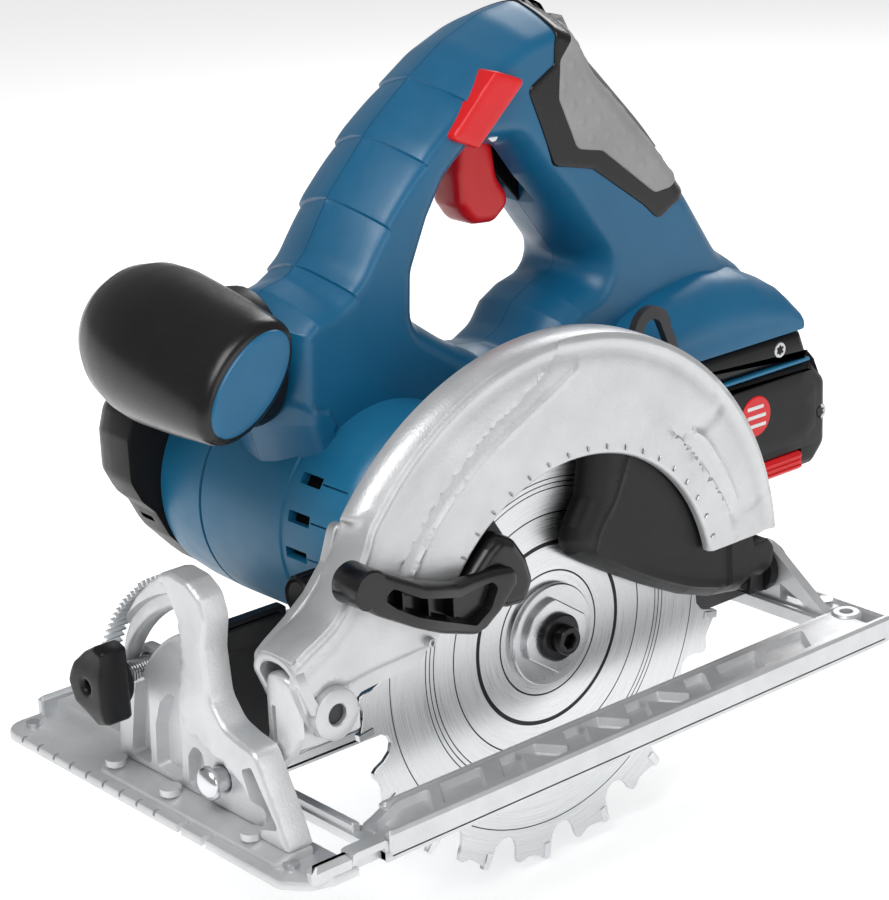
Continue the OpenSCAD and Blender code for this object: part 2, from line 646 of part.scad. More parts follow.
// ---- Motor ----
module motor_shaft() color("grey") rod_y(motor_x, motor_z, gear_y0 - 0.6, motor_end + 8, shaft_r - 0.5);
module rotor_core() color("dimgrey") difference() {
    rod_y(motor_x, motor_z, 52, 88, 14);
    rod_y(motor_x, motor_z, 50, 90, shaft_r - 0.5);
}
module commutator() color("peru") difference() {
    rod_y(motor_x, motor_z, 91, 101, 8);
    rod_y(motor_x, motor_z, 90, 102, shaft_r - 0.5);
}
module cooling_fan() color("black") difference() {
    union() {
        rod_y(motor_x, motor_z, 40, 41.5, 21);
        rod_y(motor_x, motor_z, 41.5, 47, 7);
        for (i = [0:10]) translate([motor_x, 0, motor_z]) rotate([0, i * 360 / 11, 0])
            block(8, 20, 41.5, 47, -0.8, 0.8);
    }
    rod_y(motor_x, motor_z, 39, 48, shaft_r - 0.5);
}
module rotor_bearings() color("silver") for (y = [31.2, motor_end + 0.5]) difference() {
    rod_y(motor_x, motor_z, y, y + 5, 8);
    rod_y(motor_x, motor_z, y - 1, y + 6, shaft_r - 0.5 + fit);
}
module stator() color("slategrey") difference() {
    rod_y(motor_x, motor_z, 50, 103, can_r);
    rod_y(motor_x, motor_z, 49, 90, can_r - 3);
    rod_y(motor_x, motor_z, 89, 104, can_r - 2);
    for (s = [0, 90]) translate([motor_x, 0, motor_z]) rotate([0, 30 + s, 0]) block(-40, 40, 93, 99, -3.5, 3.5);
}
module carbon_brushes() color([0.2, 0.2, 0.2]) for (s = [0, 180]) translate([motor_x, 0, motor_z])
    rotate([0, 30 + s, 0]) block(8 + gap, can_r + 1, 93.5, 98.5, -3, 3);
module motor_outline() hull() {
    translate([body_x, body_z]) circle(motor_r, $fn = 96);
    translate([motor_x, motor_z]) circle(can_r + shell + 2, $fn = 96);
}
module motor_inner() offset(-shell) motor_outline();
module motor_housing() color("steelblue") difference() {
    union() {
        difference() {
            plate_xz(case_y1, motor_end) motor_outline();
            plate_xz(case_y1 - 1, motor_end + 1) motor_inner();
        }
        // Webs that carry the motor and its front bearing
        difference() {
            plate_xz(case_y1, case_y1 + 2.5) motor_outline();
            rod_y(motor_x, motor_z, case_y1 - 1, case_y1 + 7, 8);
            rod_y(0, spindle_h, case_y1 - 1, case_y1 + 4, 12);
        }
        difference() {
            rod_y(motor_x, motor_z, case_y1 + 2.5, case_y1 + 6.5, 11);
            rod_y(motor_x, motor_z, case_y1, case_y1 + 7, 8);
        }
        for (y = [54, 99.5]) difference() {
            plate_xz(y, y + 2.5) motor_outline();
            rod_y(motor_x, motor_z, y - 1, y + 4, can_r);
            block(-80, -55, y - 1, y + 4, 80, 120);
        }
    }
    for (i = [0:3]) translate([body_x, 0, body_z]) rotate([0, -170 - i * 17, 0])
        block(motor_r - 8, motor_r + 2, case_y1 + 3, case_y1 + 10, -2, 2);
    for (a = motor_screw_a()) rod_y(body_x + 34 * cos(a), body_z + 34 * sin(a), motor_end - 12, motor_end + 1, 1.5);
}
function motor_screw_a() = [60, 150, 215];
module motor_screws() color("grey") for (a = motor_screw_a())
    rod_y(body_x + 34 * cos(a), body_z + 34 * sin(a), motor_end - 2, motor_end + 9, 1.5);
module motor_end_cap() color([0.12, 0.12, 0.12]) difference() {
    union() {
        plate_xz(motor_end, motor_end + 20) motor_outline();
        plate_xz(motor_end + 20, motor_end + cap_depth - 4) offset(-3) motor_outline();
        plate_xz(motor_end + cap_depth - 4, motor_end + cap_depth) offset(-7) motor_outline();
    }
    plate_xz(motor_end - 1, motor_end + cap_depth - 8) difference() {
        offset(-7) motor_outline();
        translate([motor_x, motor_z]) circle(11);
    }
    rod_y(motor_x, motor_z, motor_end - 1, motor_end + 5.5, 8);
    rod_y(motor_x, motor_z, motor_end, motor_end + 10, 5);
    for (a = motor_screw_a()) rod_y(body_x + 34 * cos(a), body_z + 34 * sin(a), motor_end - 3, motor_end + 9, 1.5);
}

// ---- Handle ----
module handle_outline() polygon([[-70, 92], [-75, 108], [-75, 148], [-66, 153], [-58, 155], [-50, 161], [-38, 178],
    [-19, 198], [-2, 211], [12, 220], [29, 227], [42, 229], [52, 226], [59, 217], [64, 207], [75, 196], [93, 177],
    [110, 156], [117, 145], [124, 134], [138, 124], [148, 114], [152, foot_z], [20, foot_z], [-4, 96], [-38, 70]]);
module loop_hole() polygon([[-18, 137], [-17, 152], [-10, 167], [-3, 178], [6, 186], [24, 185], [33, 173], [43, 162],
    [54, 147], [62, 135], [48, 131], [39, 126], [34, 119], [26, 115], [12, 118], [0, 125]]);
module foot_outline() polygon([[pack_x0 - 5, foot_z], [152, foot_z], [149, 112], [140, 119], [120, 124], [98, 126],
    [78, 124], [60, 118], [pack_x0 - 5, 110]]);
module handle_solid(y0, y1, f0, f1) difference() {
    union() {
        plate_xz(y0, y1) difference() {
            handle_outline();
            loop_hole();
        }
        plate_xz(f0, f1) foot_outline();
    }
    plate_xz(0, motor_end + 5) motor_outline();
    plate_xz(0, case_y1 + 5) case_outline();
}
module handle_cavity(y0, y1) {
    plate_xz(y0, y1) difference() {
        intersection() {
            offset(-shell) handle_outline();
            polygon([[-60, 110], [-60, 150], [-38, 172], [-2, 206], [40, 226], [56, 218], [100, 160], [124, 130], [146, 110],
                [146, foot_z + 6], [20, foot_z + 6], [-2, 112], [-30, 122]]);
        }
        offset(shell) loop_hole();
    }
}
module trigger_window() plate_xz(handle_y - 9, handle_y + 9) polygon([[4, 176], [9, 197], [30, 197], [42, 180], [44, 168],
    [38, 160], [30, 166]]);
module handle_half(y0, y1, f0, f1, c0, c1) difference() {
    handle_solid(y0, y1, f0, f1);
    handle_cavity(c0, c1);
    trigger_window();
    for (p = handle_screw_at()) rod_y(p[0], p[1], near_y - 1, far_y - 6, 1.6);
    for (p = handle_screw_at()) rod_y(p[0], p[1], near_y - 1, near_y + 4, 3.2);
    // Seat for the rail terminal block
    block(70, 130, handle_y - 14 - fit, handle_y + 14 + fit, foot_z - 1, foot_z + 6);
    plate_xz(near_y - 1, far_y + 1) inlay_cut();
}
module inlay_cut() polygon([[60, 215.4], [64.2, 207.4], [75.2, 196.4], [93.2, 177.4], [110.2, 156.4], [117.2, 145.4],
    [124, 150], [100, 190], [70, 222]]);
function handle_screw_at() = [[-62, 130], [-32, 150], [-22, 172], [34, 210], [50, 196], [68, 172], [92, 148], [110, 113]];
module handle_near_half() color("steelblue") difference() {
    union() {
        handle_half(near_y, handle_y, handle_y - foot_w / 2, handle_y, near_y + shell, handle_y);
        block(36, 40, near_y + shell - 1, handle_y - 9, 189, 201);
    }
    plate_xz(near_y - 1, near_y + 2.8) bar_outline(0.4);
    plate_xz(near_y - 1, near_y + shell + 1) bar_outline(-2.6);
}
module handle_far_half() color("steelblue") {
    handle_half(handle_y, far_y, handle_y, handle_y + foot_w / 2, handle_y, far_y - shell);
    block(36, 40, handle_y + 9, far_y - shell + 1, 189, 201);
}
module handle_screws() color("grey") for (p = handle_screw_at()) {
    rod_y(p[0], p[1], near_y + 3.9, far_y - 6, 1.6);
    rod_y(p[0], p[1], near_y + 0.8, near_y + 4, 3.1);
}
module grip_outline() polygon([[60, 215.5], [64.3, 207.5], [75.3, 196.5], [93.3, 177.5], [110.3, 156.5], [117.3, 145.5],
    [120.5, 147.5], [113, 160], [96, 181], [78, 200], [67, 210.5], [63, 217]]);
module soft_grip() color([0.1, 0.1, 0.1]) difference() {
    plate_xz(near_y - 2.5, far_y + 2.5) grip_outline();
    plate_xz(near_y + 6, far_y - 6) inlay_outline();
}
module inlay_outline() polygon([[74, 202], [77, 198.6], [95, 179.6], [104, 168.6], [107, 170.6], [96, 184.5], [79, 203]]);
module grip_inlay() color("grey") plate_xz(near_y + 6, far_y - 6) inlay_outline();

// ---- Front knob ----
knob_x = -96;
knob_z = 138;
module front_knob() color([0.08, 0.08, 0.08]) difference() {
    union() {
        translate([knob_x, 22, knob_z]) rotate([-90, 0, 0]) rotate_extrude($fn = 72)
            polygon([[0, 0], [15, 0], [17, 3], [20, 14], [24.5, 26], [27.5, 38], [28, 52], [26.5, 66], [21, 77], [12, 82], [0, 83]]);
        block(-94, -75, handle_y - 20, handle_y + 20, 118, 148);
    }
    block(-75, -40, 0, 120, 100, 180);
    rod_y(knob_x, knob_z, 21, 25, 12.5);
}
module knob_cap() color("steelblue") rod_y(knob_x, knob_z, 21, 25, 12.5);

// ---- Switch, trigger and lock-off ----
module bar_outline(d) translate([9, 201]) rotate(41) offset(d) translate([-17, -5.5]) square([34, 11]);
module lock_off_bar() color("red") {
    plate_xz(near_y - 3.6, near_y + 0.6) bar_outline(-0.2);
    plate_xz(near_y + 0.6, near_y + 9) bar_outline(-3.2);
}
trigger_px = 16;
trigger_pz = 191;
module trigger() color("red") difference() {
    plate_xz(handle_y - 8, handle_y + 8) union() {
        polygon([[11, 190], [8, 176], [9, 166], [17, 159], [27, 158], [35, 165], [29, 172], [27, 184], [22, 192]]);
        translate([trigger_px, trigger_pz]) circle(5);
    }
    rod_y(trigger_px, trigger_pz, handle_y - 9, handle_y + 9, 2 + fit);
}
module switch_block() color([0.2, 0.2, 0.2]) block(30, 48, handle_y - 9, handle_y + 9, 186, 204);
module wiring() color("black") plate_xz(handle_y - 2, handle_y + 2) polygon([[40, 186], [44, 186], [80, 152],
    [104, 122], [104, foot_z + 5], [100, foot_z + 5], [100, 121], [77, 149]]);
module trigger_pin() color("silver") rod_y(trigger_px, trigger_pz, near_y + shell, far_y - shell, 2);

// ---- Spindle lock ----
lock_y = 20;
lock_z = 64;
module spindle_lock() color([0.1, 0.1, 0.1]) {
    rod_x(lock_y, lock_z, -87, -74, 6.6);
    block(-74, -37, lock_y - 3.5, lock_y + 3.5, lock_z - 7.6, lock_z - 1.4);
}

// ---- Depth clamp ----
module depth_bolt() color("silver") rod_y(bolt_x, bolt_z, guard_y1 - 2, 21, 4);
module depth_lever() color([0.1, 0.1, 0.1]) difference() {
    union() {
        rod_y(bolt_x, bolt_z, arm_y1 + gap, 21, 7.5);
        plate_xz(15, 21) hull() {
            translate([bolt_x, bolt_z]) circle(5);
            translate([bolt_x + 33, bolt_z - 1]) circle(4);
        }
    }
    rod_y(bolt_x, bolt_z, arm_y0, 22, 4 + fit);
}

// ---- Battery pack ----
rail_w = 26;
module terminal_block() color([0.15, 0.15, 0.15]) {
    block(70, 130, handle_y - 14, handle_y + 14, foot_z, foot_z + 5);
    block(70, 128, handle_y - rail_w / 2 + 3, handle_y + rail_w / 2 - 3, foot_z - 5, foot_z);
    block(70, 128, handle_y - rail_w / 2, handle_y + rail_w / 2, foot_z - 8, foot_z - 5);
}
module pack_outline() polygon([[pack_x0, pack_z0 + 3], [pack_x0 + 3, pack_z0], [pack_x1 - 7, pack_z0],
    [pack_x1, pack_z0 + 7], [pack_x1, 78], [pack_x1 - 15, pack_z1], [pack_x0, pack_z1]]);
module pack_slice(z0, z1) intersection() {
    plate_xz(pack_y0, pack_y1) pack_outline();
    block(0, 300, 0, 200, z0, z1);
}
module battery_top_case() color([0.12, 0.12, 0.12]) difference() {
    pack_slice(pack_split, pack_z1);
    block(pack_x0 - 1, 130, handle_y - rail_w / 2 + 3 - gap, handle_y + rail_w / 2 - 3 + gap, foot_z - 10, foot_z + 1);
    block(pack_x0 - 1, 130, handle_y - rail_w / 2 - gap, handle_y + rail_w / 2 + gap, foot_z - 8 - gap, foot_z - 5 + gap);
    for (p = pack_screw_at()) rod_y(p[0], 90.5, pack_y0 - 1, pack_y0 + 8, 2);
}
module battery_bottom_case() color([0.1, 0.1, 0.1]) difference() {
    pack_slice(pack_z0, pack_split);
    plate_xz(pack_y0 + 3, pack_y1 - 3) intersection() {
        offset(-2.4) pack_outline();
        translate([0, 0]) square([300, pack_split + 0.1]);
    }
    block(120, 146, pack_y0 - 1, pack_y0 + 2.8, pack_z0 + 0.6, pack_z0 + 8.4);
    block(123, 143, pack_y0 - 1, pack_y0 + 4, pack_z0 + 2.6, pack_z0 + 6.4);
}
function pack_screw_at() = [[132], [75]];
module battery_screws() color("grey") for (p = pack_screw_at()) rod_y(p[0], 90.5, pack_y0 - 0.5, pack_y0 + 8, 2);
module battery_cells() color("seagreen") {
    for (i = [0:4], j = [0:1])
        rod_y(pack_x0 + 12.2 + i * cell_pitch, pack_z0 + 11.5 + j * cell_pitch, handle_y - 32.5, handle_y + 32.5, cell_r);
    for (y = [-33, 32.5]) block(pack_x0 + 8, pack_x0 + 91, handle_y + y, handle_y + y + 0.5, pack_z0 + 8, pack_z0 + 34);
}
module battery_button() color("red") {
    block(120.4, 145.6, pack_y0 - 1.6, pack_y0 + 1.6, pack_z0 + 1, pack_z0 + 8);
    block(123.4, 142.6, pack_y0 + 1.6, pack_y0 + 3.6, pack_z0 + 3, pack_z0 + 6);
}

base_plate();
sole_studs();
bevel_quadrant();
quadrant_screws();
rear_pivot_lug();
rear_lug_screws();
front_bevel_pin();
rear_bevel_pin();
bevel_frame();
depth_arm();
depth_arm_screws();
wing_screw();
depth_pivot_pin();
upper_guard();
guard_screws();
lower_guard();
guard_lever();
guard_spring();
guard_retainer();
blade();
inner_flange();
outer_flange();
clamping_bolt();
spindle();
spindle_gear();
spindle_bearings();
gear_housing();
bearing_plate();
motor_shaft();
motor_pinion();
rotor_core();
commutator();
cooling_fan();
rotor_bearings();
stator();
carbon_brushes();
motor_housing();
motor_end_cap();
motor_screws();
handle_near_half();
handle_far_half();
handle_screws();
soft_grip();
grip_inlay();
front_knob();
knob_cap();
lock_off_bar();
trigger();
trigger_pin();
switch_block();
wiring();
spindle_lock();
depth_bolt();
depth_lever();
terminal_block();
battery_top_case();
battery_bottom_case();
battery_cells();
battery_screws();
battery_button();
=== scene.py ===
import math

import bpy
import numpy as np
from mathutils import Matrix, Vector
from mathutils.geometry import delaunay_2d_cdt


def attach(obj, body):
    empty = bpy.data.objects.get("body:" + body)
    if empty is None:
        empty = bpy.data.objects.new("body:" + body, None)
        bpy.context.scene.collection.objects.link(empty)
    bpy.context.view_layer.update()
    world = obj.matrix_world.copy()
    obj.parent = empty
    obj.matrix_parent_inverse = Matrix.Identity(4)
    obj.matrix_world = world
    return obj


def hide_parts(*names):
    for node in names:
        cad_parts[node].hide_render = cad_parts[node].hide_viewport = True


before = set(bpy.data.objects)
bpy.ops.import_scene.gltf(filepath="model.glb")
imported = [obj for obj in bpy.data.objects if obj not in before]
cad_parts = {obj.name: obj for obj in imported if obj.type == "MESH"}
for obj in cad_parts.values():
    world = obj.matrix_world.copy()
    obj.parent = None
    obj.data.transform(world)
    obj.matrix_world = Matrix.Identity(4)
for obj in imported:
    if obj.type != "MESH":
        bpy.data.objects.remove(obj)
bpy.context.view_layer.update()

MM = 0.001

# Every size below is in millimetres in the CAD frame:
# +X to the rear, +Y to the motor side, +Z up, origin under the spindle on the sole's underside.
SPINDLE_Z = 31.5
HANDLE_Y = 56.0


# ---------------------------------------------------------------- camera
def camera():
    """Perspective camera at the photograph's viewing angle."""
    az, el, roll = (math.radians(v) for v in (-40.3, 19.0, -2.4))
    right = Vector((math.cos(az), math.sin(az), 0))
    back = Vector((math.sin(az) * math.cos(el), -math.cos(az) * math.cos(el), math.sin(el)))
    up = back.cross(right)
    r2 = math.cos(roll) * right + math.sin(roll) * up
    u2 = -math.sin(roll) * right + math.cos(roll) * up
    rot = Matrix((r2, u2, back)).transposed()
    centre = Vector((0, 0, SPINDLE_Z))
    place = centre - rot @ Vector((33.8, -60.3, -861.5))
    data = bpy.data.cameras.new("camera")
    data.sensor_width = 36
    data.sensor_fit = "HORIZONTAL"
    data.lens = 2600 / 889 * 36
    data.clip_start, data.clip_end = 0.01, 20
    cam = bpy.data.objects.new("camera", data)
    bpy.context.scene.collection.objects.link(cam)
    cam.matrix_world = Matrix.Translation(place * MM) @ rot.to_4x4()
    bpy.context.scene.camera = cam


# ---------------------------------------------------------------- materials
class Nodes:
    """Small helper around one material's node tree."""

    def __init__(self, name):
        self.mat = bpy.data.materials.new(name)
        self.mat.use_nodes = True
        self.tree = self.mat.node_tree
        self.bsdf = self.tree.nodes["Principled BSDF"]
        self.coord = self.add("ShaderNodeTexCoord").outputs["Object"]

    def add(self, kind, **values):
        node = self.tree.nodes.new(kind)
        for key, value in values.items():
            if hasattr(node, key):
                setattr(node, key, value)
            else:
                node.inputs[key.replace("_", " ")].default_value = value
        return node

    def link(self, a, b):
        self.tree.links.new(a, b)

    def noise(self, scale, detail=3.0, rough=0.6, vector=None):
        node = self.add("ShaderNodeTexNoise", Scale=scale, Detail=detail, Roughness=rough)
        self.link(vector or self.coord, node.inputs["Vector"])
        return node.outputs["Fac"]

    def ramp(self, fac, stops):
        node = self.add("ShaderNodeValToRGB")
        ramp = node.color_ramp
        while len(ramp.elements) < len(stops):
            ramp.elements.new(0.5)
        for e, (pos, col) in zip(ramp.elements, stops):
            e.position = pos
            e.color = (*col, 1) if len(col) == 3 else (col[0],) * 3 + (1,)
        self.link(fac, node.inputs["Fac"])
        return node.outputs["Color"]

    def math(self, op, a, b=0.0, c=0.0):
        node = self.add("ShaderNodeMath", operation=op)
        for i, v in enumerate((a, b, c)):
            if isinstance(v, (int, float)):
                node.inputs[i].default_value = v
            else:
                self.link(v, node.inputs[i])
        return node.outputs[0]

    def bump(self, height, strength, distance):
        node = self.add("ShaderNodeBump", Strength=strength, Distance=distance)
        self.link(height, node.inputs["Height"])
        self.link(node.outputs["Normal"], self.bsdf.inputs["Normal"])
        return node


def finish_material(name, colour, rough, metal=0.0, grain=900.0, depth=0.00004, vary=0.10, coat=0.0,
    sheen=0.0,
                    rough_vary=0.12, strength=0.5, spec=0.5):
    """Colour mottle, roughness mottle and a fine grain bump, all from noise in object space."""
    n = Nodes(name)
    low = tuple(max(0, c * (1 - vary)) for c in colour)
    high = tuple(min(1, c * (1 + vary)) for c in colour)
    n.link(n.ramp(n.noise(55.0, 4.0), [(0.3, low), (0.7, high)]), n.bsdf.inputs["Base Color"])
    fine = n.noise(grain, 2.0)
    r = n.ramp(n.noise(140.0, 3.0), [(0.3, (rough * (1 - rough_vary),)), (0.7, (min(1,
        rough * (1 + rough_vary)),))])
    n.link(r, n.bsdf.inputs["Roughness"])
    n.bump(fine, strength, depth)
    n.bsdf.inputs["Metallic"].default_value = metal
    n.bsdf.inputs["Coat Weight"].default_value = coat
    n.bsdf.inputs["Coat Roughness"].default_value = 0.25
    n.bsdf.inputs["Sheen Weight"].default_value = sheen
    n.bsdf.inputs["Specular IOR Level"].default_value = spec
    return n.mat


def blade_material():
    """Disc steel ground in circles, with dark printed rings."""
    n = Nodes("blade_steel")
    sep = n.add("ShaderNodeSeparateXYZ")
    n.link(n.coord, sep.inputs[0])
    z = n.math("SUBTRACT", sep.outputs["Z"], SPINDLE_Z * MM)
    x = sep.outputs["X"]
    r = n.math("SQRT", n.math("ADD", n.math("MULTIPLY", x, x), n.math("MULTIPLY", z, z)))
    comb = n.add("ShaderNodeCombineXYZ")
    n.link(n.math("MULTIPLY", r, 1.0), comb.inputs["X"])
    n.link(n.math("MULTIPLY", n.math("ARCTAN2", z, x), 0.0006), comb.inputs["Y"])
    lines = n.noise(2600.0, 3.0, 0.7, comb.outputs[0])
    base = n.ramp(lines, [(0.3, (0.56, 0.57, 0.58)), (0.7, (0.74, 0.75, 0.76))])
    mask = None
    for radius, width in ((21.5, 0.3), (31.3, 0.75), (41.7, 0.25), (50.2, 0.2), (51.9, 0.2), (53.6, 0.2),
        (68.4, 0.2)):
        off = n.math("ABSOLUTE", n.math("SUBTRACT", r, radius * MM))
        ring = n.math("LESS_THAN", off, width * MM)
        mask = ring if mask is None else n.math("MAXIMUM", mask, ring)
    mix = n.add("ShaderNodeMix", data_type="RGBA")
    n.link(mask, mix.inputs["Factor"])
    n.link(base, mix.inputs["A"])
    mix.inputs["B"].default_value = (0.03, 0.03, 0.035, 1)
    n.link(mix.outputs["Result"], n.bsdf.inputs["Base Color"])
    n.link(n.ramp(lines, [(0.3, (0.24,)), (0.7, (0.36,))]), n.bsdf.inputs["Roughness"])
    n.bump(lines, 0.2, 0.00002)
    n.bsdf.inputs["Metallic"].default_value = 1.0
    n.bsdf.inputs["Anisotropic"].default_value = 0.75
    tan = n.add("ShaderNodeTangent", direction_type="RADIAL", axis="Y")
    n.link(tan.outputs[0], n.bsdf.inputs["Tangent"])
    return n.mat


MAT = {
    "cast": finish_material("cast_alloy", (0.66, 0.67, 0.68), 0.42, 0.55, 1100, 0.00012, 0.07,
        strength=0.9),
    "guard": finish_material("guard_paint", (0.60, 0.605, 0.615), 0.40, 0.60, 1200, 0.00011, 0.06,
        strength=0.8),
    "blue": finish_material("blue_plastic", (0.005, 0.115, 0.24), 0.36, 0.0, 1300, 0.00005, 0.05,
        strength=0.5),
    # Lighter copy of the same blue plastic, with light painted into its colour; used on the motor shell, gear
    # case nose and battery trim
    "blue_light": finish_material("blue_plastic_painted_lit", (0.012, 0.16, 0.31), 0.38, 0.0, 1300, 0.00005, 0.05,
        strength=0.5),
    "black": finish_material("black_plastic", (0.008, 0.008, 0.009), 0.38, 0.0, 1600, 0.00004, 0.2,
        spec=0.25),
    "rubber": finish_material("black_rubber", (0.007, 0.007, 0.008), 0.26, 0.0, 1600, 0.00003, 0.2,
        spec=0.4),
    "gloss_black": finish_material("gloss_black", (0.008, 0.008, 0.009), 0.24, 0.0, 1200, 0.00002, 0.2,
        spec=0.4),
    "grey": finish_material("grey_rubber", (0.30, 0.30, 0.30), 0.62, 0.0, 1600, 0.00005, 0.08),
    "red": finish_material("red_plastic", (0.70, 0.006, 0.010), 0.33, 0.0, 900, 0.00002, 0.05),
    "steel": finish_material("steel", (0.55, 0.56, 0.57), 0.28, 1.0, 1400, 0.00003, 0.08),
    "dark_steel": finish_material("dark_steel", (0.035, 0.035, 0.038), 0.45, 0.3, 1300, 0.00004, 0.2),
    "zinc": finish_material("zinc", (0.70, 0.71, 0.73), 0.22, 1.0, 1400, 0.00002, 0.05),
    "oxide": finish_material("black_oxide", (0.03, 0.03, 0.032), 0.30, 0.9, 1400, 0.00002, 0.2),
    "copper": finish_material("copper", (0.72, 0.35, 0.20), 0.3, 1.0, 1400, 0.00002, 0.05),
    "green": finish_material("cell_sleeve", (0.03, 0.22, 0.13), 0.35, 0.0, 900, 0.00002, 0.1),
    "white": finish_material("print_white", (0.80, 0.80, 0.80), 0.5, 0.0, 900, 0.00002, 0.03),
    "void": finish_material("shadow_gap", (0.004, 0.004, 0.005), 0.8, 0.0, 900, 0.00002, 0.1, spec=0.1),
    "blade": blade_material(),
}


# ---------------------------------------------------------------- mesh helpers
def place(name, verts, faces, mat, body, slot, nodes=(), angle=35.0, smooth=True):
    """Makes one object from millimetre vertices, rides it on a body and lets it stand for CAD nodes."""
    mesh = bpy.data.meshes.new(name)
    mesh.from_pydata([tuple(float(c) * MM for c in v) for v in verts], [],
        [tuple(int(i) for i in f) for f in faces])
    mesh.validate()
    obj = bpy.data.objects.new(name, mesh)
    bpy.context.scene.collection.objects.link(obj)
    if smooth:
        mesh.polygons.foreach_set("use_smooth", [True] * len(mesh.polygons))
        mesh.set_sharp_from_angle(angle=math.radians(angle))
    mesh.materials.append(MAT[mat])
    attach(obj, body)
    if nodes:
        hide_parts(*nodes)
    return obj


def fillet(points, radius=2.0, n=5):
    """Closed outline with every corner rounded. A point may carry its own radius as a third number."""
    pts = [np.array(p[:2], float) for p in points]
    rad = [p[2] if len(p) > 2 else radius for p in points]
    out = []
    for i, p in enumerate(pts):
        a, b = pts[i - 1], pts[(i + 1) % len(pts)]
        u, v = a - p, b - p
        lu, lv = np.linalg.norm(u), np.linalg.norm(v)
        u, v = u / lu, v / lv
        half = math.acos(max(-1, min(1, float(u @ v)))) / 2
        if rad[i] <= 0.01 or half > math.radians(89.5):
            out.append(p)
            continue
        cut = min(rad[i] / math.tan(half), 0.48 * lu, 0.48 * lv)
        r = cut * math.tan(half)
        mid = (u + v) / np.linalg.norm(u + v)
        c = p + mid * r / math.sin(half)
        s, e = p + u * cut - c, p + v * cut - c
        a0, a1 = math.atan2(s[1], s[0]), math.atan2(e[1], e[0])
        d = (a1 - a0 + math.pi) % (2 * math.pi) - math.pi
        out += [c + r * np.array([math.cos(a0 + d * k / n),
            math.sin(a0 + d * k / n)]) for k in range(n + 1)]
    return np.array(out)


def circle(cx, cy, r, n=64, a0=0.0, a1=360.0):
    """Points on a full circle, or on an arc with both ends."""
    full = a1 - a0 >= 360
    t = np.radians(np.linspace(a0, a1, n, endpoint=not full))
    return np.c_[cx + r * np.cos(t), cy + r * np.sin(t)]


def resample(loop, step, closed=True):
    pts = np.asarray(loop, float)
    out = []
    for i in range(len(pts) if closed else len(pts) - 1):
        a, b = pts[i], pts[(i + 1) % len(pts)]
        k = max(1, int(math.ceil(np.linalg.norm(b - a) / step)))
        out += [a + (b - a) * j / k for j in range(k)]
    if not closed:
        out.append(pts[-1])
    return np.array(out)


def seg_dist(P, loop, closed=True):
    """Distance from each point to a polyline."""
    A = np.asarray(loop, float)
    B = np.roll(A, -1, axis=0)
    if not closed:
        A, B = A[:-1], B[:-1]
    ab = B - A
    l2 = np.maximum((ab**2).sum(1), 1e-12)
    d = np.empty(len(P))
    for i in range(0, len(P), 3000):
        p = P[i : i + 3000, None, :]
        t = np.clip(((p - A) * ab).sum(2) / l2, 0, 1)
        d[i : i + 3000] = np.sqrt((((p - A) - t[..., None] * ab) ** 2).sum(2)).min(1)
    return d


def inside(P, loop):
    L = np.asarray(loop, float)
    x, y = P[:, 0], P[:, 1]
    res = np.zeros(len(P), bool)
    j = len(L) - 1
    for i in range(len(L)):
        xi, yi, xj, yj = L[i, 0], L[i, 1], L[j, 0], L[j, 1]
        if yi != yj:
            cond = ((yi > y) != (yj > y)) & (x < (xj - xi) * (y - yi) / (yj - yi) + xi)
            res ^= cond
        j = i
    return res


def grow(loop, r):
    """The outline moved outwards (r > 0) or inwards, for gentle shapes."""
    L = np.asarray(loop, float)
    area = 0.5 * np.sum(L[:, 0] * np.roll(L[:, 1], -1) - np.roll(L[:, 0], -1) * L[:, 1])
    t = np.roll(L, -1, axis=0) - np.roll(L, 1, axis=0)
    t /= np.maximum(np.linalg.norm(t, axis=1), 1e-9)[:, None]
    n = np.c_[t[:, 1], -t[:, 0]] * (1 if area > 0 else -1)
    return L + n * r


def round_edge(d, r):
    """How far a surface falls back at distance d from its edge, for an edge radius r."""
    k = np.clip(d, 0, r)
    return r - np.sqrt(np.maximum(r * r - (r - k) ** 2, 0))


AXES = {"y": (0, 2, 1), "x": (1, 2, 0), "z": (0, 1, 2)}


